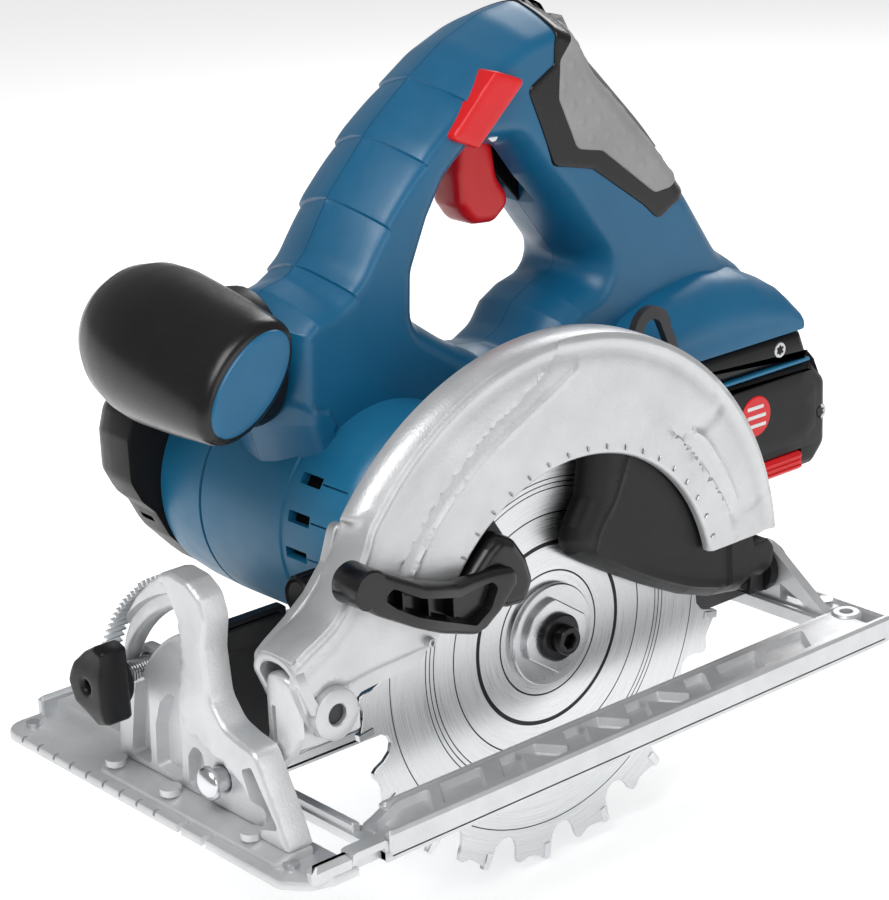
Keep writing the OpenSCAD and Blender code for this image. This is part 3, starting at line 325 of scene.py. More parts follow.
def relief_mesh(outer, holes, near, far, step=2.0, rings=(0.3, 1.0, 2.0), lines=(), axis="y",
    edge_step=None, grid=True):
    """Plate between two height fields over a flat outline. near and far take (u, v, distance to the edge)."""
    edge_step = edge_step or step
    loops = [resample(outer, edge_step)] + [resample(h, edge_step) for h in holes]
    pts = [*loops]
    edges = []
    k = 0
    for L in loops:
        m = len(L)
        edges += [(k + i, k + (i + 1) % m) for i in range(m)]
        k += m
    for ln in lines:
        L = resample(ln, edge_step, closed=False)
        ok = inside(L, loops[0]) & (seg_dist(L, loops[0]) > 0.15)
        for h in loops[1:]:
            ok &= ~inside(L, h) & (seg_dist(L, h) > 0.15)
        idx = np.flatnonzero(ok)
        sub = L[idx]
        edges += [(k + i, k + i + 1) for i in range(len(sub) - 1) if idx[i + 1] == idx[i] + 1]
        pts.append(sub)
        k += len(sub)
    fixed = np.vstack([p for p in pts if len(p)])

    def keep(P, gap, exact=None):
        ok = inside(P, loops[0])
        d = seg_dist(P, loops[0])
        for h in loops[1:]:
            ok &= ~inside(P, h)
            d = np.minimum(d, seg_dist(P, h))
        ok &= (np.abs(d - exact) < 0.12 * exact + 0.05) if exact else (d > gap)
        return P[ok]

    extra = []
    for r in rings:
        for L, sign in [(loops[0], -1)] + [(h, 1) for h in loops[1:]]:
            extra.append(keep(grow(L, sign * r), 0, r))
    last = rings[-1] if len(rings) else 0.0
    if grid:
        lo, hi = loops[0].min(0), loops[0].max(0)
        gx, gy = np.arange(lo[0], hi[0], step), np.arange(lo[1], hi[1], step * 0.87)
        G = np.array([(x + (step / 2 if j % 2 else 0), y) for j, y in enumerate(gy) for x in gx])
        extra.append(keep(G, last + 0.45 * step))
    P = np.vstack([fixed] + [e for e in extra if len(e)])
    for ln in lines:
        d = seg_dist(P, ln, closed=False)
        ok = d > 0.3
        ok[: len(fixed)] = True
        P = P[ok]
    vs, _, fs, _, _, _ = delaunay_2d_cdt([Vector((float(a), float(b))) for a, b in P], edges, [], 0, 1e-4)
    V = np.array([(v.x, v.y) for v in vs])
    F = np.array([f for f in fs if len(f) == 3])
    c = V[F].mean(1)
    ok = inside(c, loops[0])
    for h in loops[1:]:
        ok &= ~inside(c, h)
    F = F[ok]
    area = (V[F[:, 1], 0] - V[F[:, 0], 0]) * (V[F[:, 2], 1] - V[F[:, 0], 1]) - (V[F[:, 2], 0] - V[F[:, 0],
        0]) * (
        V[F[:, 1], 1] - V[F[:, 0], 1])
    F = F[np.abs(area) > 1e-7]
    used = np.unique(F)
    remap = -np.ones(len(V), int)
    remap[used] = np.arange(len(used))
    V, F = V[used], remap[F]
    d = seg_dist(V, loops[0])
    for h in loops[1:]:
        d = np.minimum(d, seg_dist(V, h))
    d[d < 1e-3] = 0
    a, b = near(V[:, 0], V[:, 1], d), far(V[:, 0], V[:, 1], d)
    n = len(V)
    i, j, w = AXES[axis]
    out = np.zeros((2 * n, 3))
    out[:n, i], out[:n, j], out[:n, w] = V[:, 0], V[:, 1], a
    out[n:, i], out[n:, j], out[n:, w] = V[:, 0], V[:, 1], b
    count = {}
    for f in F:
        for s, e in ((f[0], f[1]), (f[1], f[2]), (f[2], f[0])):
            count[(s, e)] = count.get((s, e), 0) + 1
    border = [(s, e) for (s, e) in count if (e, s) not in count]
    faces = [tuple(f) for f in F] + [tuple(n + v for v in f[::-1]) for f in F]
    faces += [(e, s, n + s, n + e) for s, e in border]
    return out, orient(out, faces)


def orient(verts, faces):
    """Turns all faces outwards, from the sign of the closed volume."""
    V = np.asarray(verts, float)
    vol = 0.0
    for f in faces:
        for k in range(1, len(f) - 1):
            vol += float(np.dot(V[f[0]], np.cross(V[f[k]], V[f[k + 1]])))
    return faces if vol >= 0 else [tuple(f[::-1]) for f in faces]


def merge(parts):
    verts, faces, k = [], [], 0
    for v, f in parts:
        verts.append(np.asarray(v, float))
        faces += [tuple(i + k for i in q) for q in f]
        k += len(v)
    return np.vstack(verts), faces


def loft_mesh(sections, closed_ends=True):
    """Skin through rings that all have the same number of points."""
    n = len(sections[0])
    V = np.vstack(sections)
    F = []
    for s in range(len(sections) - 1):
        for i in range(n):
            j = (i + 1) % n
            F.append((s * n + i, s * n + j, (s + 1) * n + j, (s + 1) * n + i))
    if closed_ends:
        F.append(tuple(range(n))[::-1])
        F.append(tuple(range((len(sections) - 1) * n, len(sections) * n)))
    return V, orient(V, F)


def along_y(outline, steps):
    """Loft of one XZ outline along Y. Each step is (y, offset of the outline)."""
    rings = []
    for y, off in steps:
        L = grow(outline, off)
        rings.append(np.c_[L[:, 0], np.full(len(L), y), L[:, 1]])
    return loft_mesh(rings)


def lathe_mesh(profile, centre, axis="y", n=48):
    """Surface of revolution. The profile is a list of (position along the axis, radius)."""
    i, j, w = AXES[axis]
    rings = []
    t = np.linspace(0, 2 * math.pi, n, endpoint=False)
    for pos, r in profile:
        ring = np.zeros((n, 3))
        ring[:, i] = centre[0] + max(r, 0.02) * np.cos(t)
        ring[:, j] = centre[1] + max(r, 0.02) * np.sin(t)
        ring[:, w] = pos
        rings.append(ring)
    return loft_mesh(rings)


def box_mesh(lo, hi, bevel=0.6):
    """Box with chamfered edges and corners."""
    lo, hi = np.array(lo, float), np.array(hi, float)
    b = min(bevel, 0.45 * float((hi - lo).min()))
    V, F = [], []
    sections = []
    for z, inset in ((lo[2], b), (lo[2] + b, 0), (hi[2] - b, 0), (hi[2], b)):
        x0, x1, y0, y1 = lo[0] + inset, hi[0] - inset, lo[1] + inset, hi[1] - inset
        c = b * 0.6
        ring = [(x0 + c, y0), (x1 - c, y0), (x1, y0 + c), (x1, y1 - c), (x1 - c, y1), (x0 + c, y1),
            (x0, y1 - c), (x0, y0 + c)]
        sections.append(np.array([(x, y, z) for x, y in ring]))
    return loft_mesh(sections)


def turned(part, axis, angle, about):
    V, F = part
    m = Matrix.Rotation(math.radians(angle), 3, axis)
    c = np.array(about, float)
    return (np.asarray(V) - c) @ np.array(m).T + c, F


def smoothstep(a, b, x):
    t = np.clip((x - a) / (b - a), 0, 1)
    return t * t * (3 - 2 * t)


def near_line(u, v, line, width):
    """1 on a polyline, falling to 0 at the given half width."""
    d = seg_dist(np.c_[u, v], np.array(line, float), closed=False)
    return 1 - smoothstep(0, width, d)


def side_of(u, v, line):
    """Signed distance to an open polyline, positive on its left."""
    L = np.array(line, float)
    P = np.c_[u, v]
    best, sign = np.full(len(P), 1e9), np.zeros(len(P))
    for a, b in zip(L[:-1], L[1:]):
        ab = b - a
        t = np.clip(((P - a) @ ab) / (ab @ ab), 0, 1)
        q = P - (a + t[:, None] * ab)
        d = np.hypot(q[:, 0], q[:, 1])
        c = ab[0] * (P[:, 1] - a[1]) - ab[1] * (P[:, 0] - a[0])
        better = d < best - 1e-9
        best = np.where(better, d, best)
        sign = np.where(better, np.sign(c), sign)
    return best * sign


def flat(value):
    return lambda u, v, d: np.full(len(u), float(value))


def drilled(y0, sign, r):
    return lambda u, v, d: y0 + sign * round_edge(d, r)


def hull_circles(c1, r1, c2, r2, n=72):
    """Outline round two circles."""
    c1, c2 = np.array(c1, float), np.array(c2, float)
    d = c2 - c1
    base = math.atan2(d[1], d[0])
    a = math.acos((r1 - r2) / np.linalg.norm(d))
    p1 = [c1 + r1 * np.array([math.cos(t), math.sin(t)]) for t in np.linspace(base + a,
        base + 2 * math.pi - a, n)]
    p2 = [c2 + r2 * np.array([math.cos(t), math.sin(t)]) for t in np.linspace(base - a, base + a, n // 2)]
    return np.array(p1 + p2)


# ---------------------------------------------------------------- handle
HANDLE = fillet([(-70, 92, 3), (-75.5, 112, 8), (-75.5, 146, 6), (-66, 153, 4), (-57, 155, 4),
    (-49, 161, 12), (-38, 178, 30),
                 (-19, 198, 40), (-2, 211, 40), (12, 220, 30), (29, 227, 25), (44, 229.5, 12), (54, 225, 9),
                 (60, 216, 12),
                 (65, 206, 20), (76, 195, 30), (93, 177, 40), (110, 156, 30), (118, 144, 20),
                     (126, 132, 20), (138, 124, 10),
                 (149, 113, 8), (152, 101, 1), (20, 101, 2), (-4, 96, 8), (-38, 70, 4)], 6)
LOOP = fillet([(-18, 137), (-17, 152), (-10, 167), (-3, 178), (7, 186), (24, 185), (33, 173), (43, 162),
    (54, 147),
               (63, 135), (48, 131), (39, 126), (34, 119), (26, 115), (12, 117), (0, 124)], 6)
STEPS = [((-2, 210.8), (3.2, 205)), ((-22, 195.5), (-16, 188)), ((-38, 177.5), (-32, 170)),
    ((-52, 158), (-46, 150))]


def handle_rise(u, v, extra=0.0):
    """How far the handle's side stands out from its middle plane."""
    P = np.c_[u, v]
    d = seg_dist(P, HANDLE) * np.where(inside(P, HANDLE), 1, -1) + extra
    h = seg_dist(P, LOOP) * np.where(inside(P, LOOP), -1, 1) + extra
    half = 23.0 + extra
    # Front and top: a broad sloping panel from the seam to a crease, then the flat side
    k = np.clip(d, 0, None)
    panel = np.where(k < 6.8, 20.0 * (k / 6.8) ** 0.72, 20.0 + 3.0 * (1 - (1 - np.clip((k - 6.8) / 3.2, 0,
        1)) ** 2))
    # Rear grip: rounded
    r = np.clip(d / 12.0, 0, 1)
    grip = 23.0 * np.sqrt(1 - (1 - r) ** 2)
    w = smoothstep(48, 64, u)
    outer = (panel * (1 - w) + grip * w) * half / 23.0
    r = np.clip(h / 10.0, 0, 1)
    inner = half * np.sqrt(1 - (1 - r) ** 2)
    return np.minimum(outer, inner)


def handle_steps(u, v):
    """Overlapping armour panels on the sloping band: a small drop at each step that heals over its length."""
    d = seg_dist(np.c_[u, v], HANDLE)
    drop = np.zeros(len(u))
    for a, b in STEPS:
        t = np.array([b[0] - a[0], b[1] - a[1]]) / math.hypot(b[0] - a[0], b[1] - a[1])
        s = (u - a[0]) * t[1] - (v - a[1]) * t[0]
        drop += 2.3 * smoothstep(0, 0.5, s) * np.exp(-np.clip(s, 0, None) / 6.5)
    return drop * (1 - smoothstep(7.0, 11.5, d)) * (u < 30)


def handle():
    fan = []
    for a, b in STEPS:
        a, b = np.array(a, float), np.array(b, float)
        t = (b - a) / np.linalg.norm(b - a)
        n = np.array([t[1], -t[0]])
        fan += [np.array([a + t * 0.3 + n * k, b + t * 3.5 + n * k]) for k in (0.0, 0.5)]

    def near(u, v, d):
        rise = np.maximum(handle_rise(u, v) - handle_steps(u, v), 0)
        skirt = 1.4 * smoothstep(0, 0.5, 122.5 - 0.44 * (u + 76) - v) * (u < -58) * (rise > 4)
        return HANDLE_Y - 0.25 - rise - skirt

    def far(u, v, d):
        return np.full(len(u), HANDLE_Y - 0.1)

    rings = (0.4, 1.2, 2.4, 4.0, 5.6, 6.8, 7.6, 8.8, 10.0, 11.5)
    v1, f1 = relief_mesh(HANDLE, [LOOP], near, far, 2.2, rings, fan, edge_step=1.5)
    place("handle_near_shell", v1, f1, "blue", "saw_body", "blue_plastic", ["handle_near_half"], 28)
    v2 = np.array(v1)
    v2[:, 1] = 2 * HANDLE_Y - v2[:, 1]
    place("handle_far_shell", v2, [f[::-1] for f in f1], "blue", "saw_body", "blue_plastic",
        ["handle_far_half"], 28)
    # Pocket that the trigger is squeezed into
    for side in ("near", "far"):
        boolean(bpy.data.objects["handle_%s_shell" % side], box_mesh((9, 47.2, 157), (44, 64.8, 197), 0.5),
            "trigger_well")
    # Painted shade: a dark sheet in the gap where the two halves meet
    core = grow(resample(HANDLE, 1.5), -0.35)
    hole = grow(resample(LOOP, 1.5), 0.35)
    v, f = relief_mesh(core, [hole], flat(HANDLE_Y - 0.6), flat(HANDLE_Y + 0.6), 4.0, (), edge_step=2.0)
    place("handle_seam_shade", v, f, "void", "saw_body", "black_plastic")


# ---------------------------------------------------------------- battery foot
def foot():
    """Swollen foot of the handle over the battery, with a rounded top."""
    prof = [(-38.5, 0.30), (-38.0, 0.44), (-36.8, 0.58), (-34.5, 0.71), (-30, 0.84), (-22, 0.94), (0, 1.0)]
    outline = fillet([(49, 100.2, 2), (60, 100.2, 0), (148.5, 100.2, 2), (149, 108, 8), (141, 118.5, 12),
        (126, 126, 16), (108, 129, 20),
                      (88, 126, 20), (70, 120, 14), (56, 110, 10)], 6)
    rings = []
    for y, k in prof + [(-y, k) for y, k in prof[-2::-1]]:
        L = outline.copy()
        rings.append(np.c_[99 + (L[:, 0] - 99) * (0.95 + 0.05 * k), np.full(len(L), HANDLE_Y + y),
            100.2 + (L[:, 1] - 100.2) * k])
    v, f = loft_mesh(rings)
    place("handle_foot", v, f, "blue", "saw_body", "blue_plastic", (), 40)


# ---------------------------------------------------------------- grips
def patch(name, outline, lift, mat, slot, nodes, bumps=None, step=1.6):
    """Overmoulded skin that stands a little proud of the handle, on both sides."""
    parts = []

    def near(u, v, d):
        y = HANDLE_Y - np.maximum(handle_rise(u, v, lift) - round_edge(d, 0.8) * 0.8, 0)
        if bumps is not None:
            y = y - bumps(u, v)
        return y

    v1, f1 = relief_mesh(outline, [], near, flat(HANDLE_Y), step, (0.3, 0.8), edge_step=1.2)
    v2 = np.array(v1)
    v2[:, 1] = 2 * HANDLE_Y - v2[:, 1]
    v, f = merge([(v1, f1), (v2, [q[::-1] for q in f1])])
    return place(name, v, f, mat, "saw_body", slot, nodes, 40)


def grips():
    black = fillet([(45, 229.6, 3), (41, 218, 2), (40.5, 211, 2), (28.5, 204.5, 3), (34.5, 190, 3),
        (39.5, 177, 3), (57, 173, 5),
                    (81, 156, 5), (88, 149.5, 4), (94.5, 153, 4), (104, 157, 5), (112, 156, 6),
                    (112.5, 160, 3), (96, 179.5, 8), (79, 197, 8),
                    (68, 208.5, 6), (63, 217.5, 6), (57, 226.5, 5), (50, 230, 4)], 2)
    patch("soft_grip_skin", black, 0.8, "rubber", "black_rubber", ["soft_grip"])
    grey = fillet([(62, 222.5, 2), (52, 222, 3), (43, 212, 3), (42, 199, 3), (50, 181, 4), (61.5, 178.5, 4),
        (86, 159.5, 4),
                   (93, 160, 3), (106, 164, 4), (105.5, 170.5, 3), (97, 180.5, 8), (80, 198, 8),
                   (69, 209.5, 6), (64.5, 217.5, 3)], 2)
    dots = [(x + (4 if j % 2 else 0), z) for j, z in enumerate(np.arange(164, 222,
        6.5)) for x in np.arange(44, 110, 8.0)]

    def bumps(u, v):
        h = np.zeros(len(u))
        for x, z in dots:
            r = np.hypot(u - x, v - z)
            h = np.maximum(h, 0.55 * (1 - smoothstep(0.5, 1.8, r)))
        return h

    patch("grip_inlay_skin", grey, 1.3, "grey", "grey_rubber", ["grip_inlay"], bumps, 0.9)
    # Band that closes the inlay over the handle's rear edge
    section = [(-6, -1.3), (-5, -0.6), (0, -0.35), (5, -0.6), (6, -1.3), (4, -3), (-4, -3)]
    for name, path, mat, slot in (
            ("grip_band", [(62.5, 222.6), (65.2, 217.7), (69.7, 210.0), (80.6, 198.6), (97.4, 181.0),
                (106, 170.8)], "grey", "grey_rubber"),):
        line = smooth_line(path, 5)
        t = np.gradient(line, axis=0)
        t /= np.linalg.norm(t, axis=1)[:, None]
        out = np.c_[-t[:, 1], t[:, 0]]
        out = np.where((out @ np.array([1.0, 1.0]))[:, None] < 0, -out, out)
        rings = [np.array([(p[0] + o[0] * h, HANDLE_Y + w, p[1] + o[1] * h) for w, h in section]) for p,
            o in zip(line, out)]
        v, f = loft_mesh(rings)
        place(name, v, orient(v, f), mat, "saw_body", slot, (), 50)


# ---------------------------------------------------------------- motor, gear case, end cap
MOTOR = hull_circles((-38, 75), 40, (-20, 54), 28)
MOTOR_CAP = fillet([(-85, 106, 8), (-88, 96, 6), (-88, 81, 8), (-84, 73, 5), (-79, 68, 6), (-74, 58, 10),
    (-62, 45, 12), (-40, 34, 14), (-18, 26, 16), (2, 34, 14), (9, 54, 14),
                    (2, 84, 14), (-12, 106, 14), (-32, 115.5, 16), (-50, 115, 12), (-72, 112, 10)], 5)


def boolean(obj, cutter_part, name):
    v, f = cutter_part
    mesh = bpy.data.meshes.new(name)
    mesh.from_pydata([tuple(float(c) * MM for c in p) for p in v], [],
        [tuple(int(i) for i in q) for q in f])
    cutter = bpy.data.objects.new(name, mesh)
    bpy.context.scene.collection.objects.link(cutter)
    mod = obj.modifiers.new("cut", "BOOLEAN")
    mod.operation = "DIFFERENCE"
    mod.solver = "EXACT"
    mod.object = cutter
    graph = bpy.context.evaluated_depsgraph_get()
    new = bpy.data.meshes.new_from_object(obj.evaluated_get(graph))
    obj.modifiers.clear()
    old = obj.data
    obj.data = new
    bpy.data.meshes.remove(old)
    bpy.data.objects.remove(cutter)
    bpy.data.meshes.remove(mesh)


def motor():
    steps = [(7.6, -8.0), (8.4, -5.2), (10, -3.2), (12.5, -1.9), (15, -1.4), (24, -1.0), (36, -0.9),
        (39.2, -0.8), (39.8, -0.2), (41, 0), (62, -0.2), (81.6, 0), (82.0, -0.8),
             (82.6, -0.8), (83, 0), (98, -0.5), (106.6, -1.4), (106.9, -3.0)]
    body = along_y(MOTOR, steps)
    # The motor shell takes the lighter blue copy, which has light painted into its colour
    obj = place("motor_shell", *body, "blue_light", "saw_body", "blue_plastic",
        ["motor_housing", "gear_housing"], 30)
    cuts = []
    for ang, y0, y1 in ((147, 25, 35), (166, 26, 36.5), (184, 27, 37.5), (202, 29, 38.5)):
        a = math.radians(ang)
        cx, cz = -38 + 38 * math.cos(a), 75 + 38 * math.sin(a)
        cuts.append(turned(box_mesh((cx - 4, y0, cz - 1.9), (cx + 4, y1, cz + 1.9), 0.3), "Y", -(ang - 180),
            (cx, 0, cz)))
        cuts.append(turned(box_mesh((cx - 2.0, 13, cz - 0.3), (cx + 0.4, y0 - 0.4, cz + 0.3), 0.1), "Y",
            -(ang - 180), (cx, 0, cz)))
    boolean(obj, merge(cuts), "vents")
    place("motor_inner_shade", *along_y(MOTOR, [(28, -4.2), (60, -4.2)]), "void", "saw_body",
        "black_plastic", (), 30)
    nose = lathe_mesh([(2.3, 18.6), (2.3, 23.4), (2.9, 24), (9, 24), (9, 18.6)], (0, SPINDLE_Z), n=64)
    place("gear_case_nose", *nose, "blue_light", "saw_body", "blue_plastic")
    mid = np.array([-38.0, 75.0])
    cap = loft_mesh([np.c_[q[:, 0], np.full(len(q), y), q[:, 1]] for y, k in
                     ((107.0, 0.97), (107.6, 0.995), (110, 1), (118, 0.995), (124, 0.975), (129, 0.935),
                         (133, 0.87), (136, 0.76), (137.5, 0.6), (138, 0.42), (138, 0.05))
                     for q in [mid + (MOTOR_CAP - mid) * k]])
    obj = place("motor_cap_shell", *cap, "black", "saw_body", "black_plastic", ["motor_end_cap"], 40)
    slots = []
    for ang in (120, 142, 160, 178, 196):
        a = math.radians(ang)
        cx, cz = -38 + 38.5 * math.cos(a), 75 + 38.5 * math.sin(a)
        slots.append(turned(box_mesh((cx - 6, 112, cz - 1.2), (cx + 9, 120, cz + 1.2), 0.3), "Y",
            -(ang - 180), (cx, 0, cz)))
    boolean(obj, merge(slots), "cap_slots")


# ---------------------------------------------------------------- front knob
def ellipse_ring(cx, cz, a, b, tilt, y, n=72):
    t = np.linspace(0, 2 * math.pi, n, endpoint=False)
    c, s = math.cos(math.radians(tilt)), math.sin(math.radians(tilt))
    x, z = a * np.cos(t), b * np.sin(t)
    return np.c_[cx + x * c - z * s, np.full(n, float(y)), cz + x * s + z * c]


def knob():
    prof = [(17.4, 18.4, 9.6), (17.9, 20.2, 11.4), (19.4, 21.4, 12.7), (22, 22.0, 13.7), (27, 22.5, 15.2),
        (34, 23.2, 17.2), (45, 24.2, 20.4),
            (58, 25.0, 24.0), (68, 25.6, 25.8), (77, 25.2, 25.6), (85, 23.2, 23.8), (91, 20.0, 20.4),
            (95, 15.4, 15.6), (97.6, 9.4, 9.4), (98.6, 3.0, 3.0)]
    rings = []
    for y, a, b in prof:
        t = min(1, max(0, (y - 20) / 60))
        rings.append(ellipse_ring(-101 + 7.5 * t, 138.0, a, b, 44, y))
    v, f = loft_mesh(rings)
    v[:, 0] = np.minimum(v[:, 0], -72.0)
    place("front_knob_skin", v, f, "rubber", "saw_body", "black_rubber", ["front_knob"], 40)
    cap = loft_mesh([ellipse_ring(-101, 138.0, 18.2 + g, 9.4 + g, 44, y) for y,
        g in ((19.4, 0.6), (17.2, 0.6), (16.7, 0.2), (16.5, -0.8), (16.5, -2.5))])
    place("knob_cap_disc", *cap, "blue", "saw_body", "blue_plastic", ["knob_cap"], 40)
    neck = loft_mesh([np.c_[np.full(40, x), HANDLE_Y + ry * np.cos(t),
        133 + rz * np.sin(t)] for t in [np.linspace(0, 2 * math.pi, 40, endpoint=False)]
                      for x, ry, rz in ((-94, 18, 19), (-84, 20, 21), (-76.5, 21.5, 23),
                          (-73.5, 21, 22.5))])
    place("knob_collar", *neck, "black", "saw_body", "black_rubber", (), 40)




# ---------------------------------------------------------------- upper guard
HOOD = [(-92, 84), (-96, 78), (-103, 71.5), (-113, 66.5), (-118.5, 63.5), (-118.5, 55), (-115.5, 45.5),
    (-113.5, 40), (-110, 36), (-105, 34.2),
        (-99.5, 36.5), (-97.5, 42), (-92, 45), (-84, 45.5)]


def shifted(line, r):
    L = np.array(line, float)
    t = np.gradient(L, axis=0)
    t /= np.maximum(np.linalg.norm(t, axis=1), 1e-9)[:, None]
    return L + np.c_[-t[:, 1], t[:, 0]] * r


def smooth_line(line, n=6):
    """Catmull-Rom curve through the points of an open polyline."""
    P = np.array(line, float)
    Q = np.vstack([2 * P[0] - P[1], P, 2 * P[-1] - P[-2]])
    out = []
    for i in range(1, len(Q) - 2):
        for k in range(n):
            t = k / n
            a, b, c, d = Q[i - 1], Q[i], Q[i + 1], Q[i + 2]
            out.append(0.5 * ((2 * b) + (c - a) * t + (2 * a - 5 * b + 4 * c - d) * t * t + (3 * b - a - 3 * c + d) * t**3))
    out.append(P[-1])
    return np.array(out)


CREASE = smooth_line([(-8, 134), (-12, 129), (-23, 122), (-35, 116), (-45, 109), (-56, 101), (-64, 93),
    (-73, 83), (-78, 76)])
RIB = smooth_line([(0, 126), (-11, 120), (-26, 113), (-41, 105), (-54, 95), (-63, 86), (-70, 77)])
PAD = smooth_line([(38, 97), (47, 91), (56, 81), (64, 70), (69, 62), (71, 57)])
PAD_RIB = smooth_line([(51, 94), (59, 88), (66, 78), (71, 69), (74, 63)])
SWOOSH = smooth_line([(51, 93), (59, 93), (65, 96), (69, 100), (66, 104)])
PAD_LOW = smooth_line([(71, 57), (78, 58), (86, 60), (91, 62)])


def hood(u):
    return 2.2 * smoothstep(-84, -110, u)


def guard():
    edge = circle(-4.8, 37.3, 99.6, 90, 5.6, 139.0)
    arch = circle(-0.5, 33, 63, 70, 12.9, 167.1)[::-1]
    skirt = [p + (1.6,) for p in HOOD[5:]] + [(-70, 46, 2), (-66, 49, 2), (-63.3, 52.5, 1)]
    join = smooth_line([tuple(edge[-1]), (-85.5, 96), (-88.5, 89.5)] + HOOD[:5], 4)
    face = np.vstack([edge[:-1], join[:-1], fillet([tuple(join[-1]) + (0,)] + skirt + [tuple(arch[3]) + (0,
        )], 2)[1:-1], arch[3:]])
    bore = circle(-105, 43.3, 3.4, 28)
    outer = np.vstack([edge[:-1], join])

    def near(u, v, d):
        P = np.c_[u, v]
        do = seg_dist(P, outer, closed=False)
        y = -17 - hood(u) + round_edge(seg_dist(P, arch, closed=False), 1.2)
        # Crisp bead round the rim, then the face falls away from it a little
        y += 0.9 * (1 - smoothstep(0.0, 1.4, do)) - 0.45 * (1 - smoothstep(0.0, 0.9,
            np.abs(do - 1.9))) + 0.9 * np.exp(-((do - 5.0) / 2.6) ** 2)
        s = side_of(u, v, CREASE)
        ends = smoothstep(0, 14, np.hypot(u - CREASE[-1][0], v - CREASE[-1][1]))
        y += np.where(s > 0, 1.5 * smoothstep(0, 1.0, s) * np.exp(-np.abs(s) / 5.5),
            -0.6 * np.exp(-np.abs(s) / 5.0)) * ends
        y -= 0.75 * near_line(u, v, RIB, 1.7)
        p = side_of(u, v, PAD)
        y += np.where(p > 0, 1.1 * np.exp(-p / 5.0), 0) * (u > 34) * smoothstep(1, 8,
            np.hypot(u - 38, v - 97))
        y -= 0.8 * near_line(u, v, PAD_RIB, 1.6)
        y += 0.8 * near_line(u, v, SWOOSH, 3.2)
        y += 0.6 * near_line(u, v, PAD_LOW, 1.6)
        low = smoothstep(50.4, 49.4, v - 0.05 * (u + 100)) * (u < -60) * (u > -112)
        y += 1.1 * low + 0.4 * near_line(u, v, np.array([(-98, 50.3), (-66, 51.9)]), 0.8)
        r = np.hypot(u + 105, v - 43.3)
        return np.where(r < 11, y + 0.9 * smoothstep(10.5, 8.8, r), y)

    lines = []
    for ln in (CREASE, PAD):
        lines += [shifted(ln, k) for k in (0, 1.0)]
    for ln in (RIB, PAD_RIB):
        lines += [shifted(ln, k) for k in (-1.6, 0, 1.6)]
    lines += [np.vstack([c, c[:1]]) for c in (circle(-105, 43.3, 8.8, 32), circle(-105, 43.3, 10.5, 32))]
    lines += [np.array([(-97, 50.3 + k), (-66.5, 51.8 + k)]) for k in (-0.8, 0, 0.8)]
    v, f = relief_mesh(face, [bore], near, lambda u, v, d: -13.6 - hood(u), 2.0,
        (0.5, 1.0, 1.5, 2.0, 2.8, 4.0, 5.4, 7.5), lines, edge_step=1.5)
    place("guard_face", v, f, "guard", "saw_body", "guard_grey", ["upper_guard"], 42)
    # Outer wall: swells behind the rim, then draws in to the circle round the blade
    n = 100
    A = circle(-4.8, 37.3, 99.6, n, 5.6, 139.0)
    B = circle(-8, 36, 102.6, n, 6.2, 141.5)
    C = circle(0, SPINDLE_Z, 92.0, n, 9.7, 141.0)
    rows = []
    for k in range(n):
        e, m, c = A[k], B[k], C[k]
        inn = np.array([0, SPINDLE_Z]) + (c - [0, SPINDLE_Z]) * 0.972
        mi = np.array([-8, 36]) + (m - [-8, 36]) * 0.974
        rows.append([(*e, -16.1), (*(e + (m - e) * 0.42), -14.8), (*(e + (m - e) * 0.78), -12.6),
            (*(e + (m - e) * 0.96), -10.0), (*m, -7.6),
                     (*(m + (c - m) * 0.10), -5.2), (*(m + (c - m) * 0.52), 1.0),
                     (*(m + (c - m) * 0.94), 6.6), (*c, 7.5), (*inn, 7.5), (*mi, -6.0),
                     (*(mi + (e - m) * 0.8), -13.7)])
    H = resample(np.vstack([A[-1:], join]), 2.0, closed=False)
    nh = shifted(H, 2.4)
    for p, q in zip(H[1:], nh[1:]):
        h = float(hood(p[0]))
        w = q - p
        t = float(smoothstep(0, 12, np.linalg.norm(p - A[-1])))
        last = rows[n - 1]
        own = [(*p, -16.1 - h), (*(p - w * 0.16), -14.4 - h), (*(p - w * 0.3), -11.5 - h),
            (*(p - w * 0.3), -9), (*(p - w * 0.25), -6.5), (*(p + w * 0.1), -3.5),
               (*(p + w * 0.9), 0.0), (*(p + w * 2.1), 3.2), (*(p + w * 2.6), 4.0), (*(p + w * 2.7), 3.4),
               (*(q + w * 0.2), -4.0), (*q, -13.7 - h)]
        rows.append([tuple(np.array(a) * (1 - t) + np.array(b) * t) for a,
            b in zip([(x + p[0] - A[-1][0], z + p[1] - A[-1][1], y) for x, z, y in last], own)])
    m = len(rows[0])
    V = [(x, y, z) for r in rows for x, z, y in r]
    F = [(i * m + k, i * m + (k + 1) % m, (i + 1) * m + (k + 1) % m,
        (i + 1) * m + k) for i in range(len(rows) - 1) for k in range(m)]
    F += [tuple(range(m))[::-1], tuple(range(m * len(rows) - m, m * len(rows)))]
    place("guard_wall", V, orient(V, F), "guard", "saw_body", "guard_grey", (), 38)
    back = np.vstack([circle(0, SPINDLE_Z, 91.6, 90, -4.1, 170.1), np.array([(-62, 47), (-62, 25)]),
        circle(0, SPINDLE_Z, 33, 40, -11.4, 191.4)[::-1]])
    v, f = relief_mesh(back, [], drilled(5.5, 1, 0.4), drilled(7.4, -1, 0.4), 6.0, (0.5,), edge_step=3.0)
    place("guard_back", v, f, "guard", "saw_body", "guard_grey", (), 40)
    arm = fillet([(-84, 99), (-90, 82), (-97, 74), (-105, 68), (-113, 63), (-117, 60), (-117, 54),
        (-113, 44), (-110, 36.5), (-104, 34), (-97.5, 37), (-94, 46),
                  (-82, 60), (-76, 78)], 3)
    v, f = relief_mesh(arm, [circle(-104, 43, 4.2, 28)], drilled(-0.4, 1, 0.5), drilled(3.9, -1, 1.2), 4.0,
        (0.5, 1.2), edge_step=2.0)
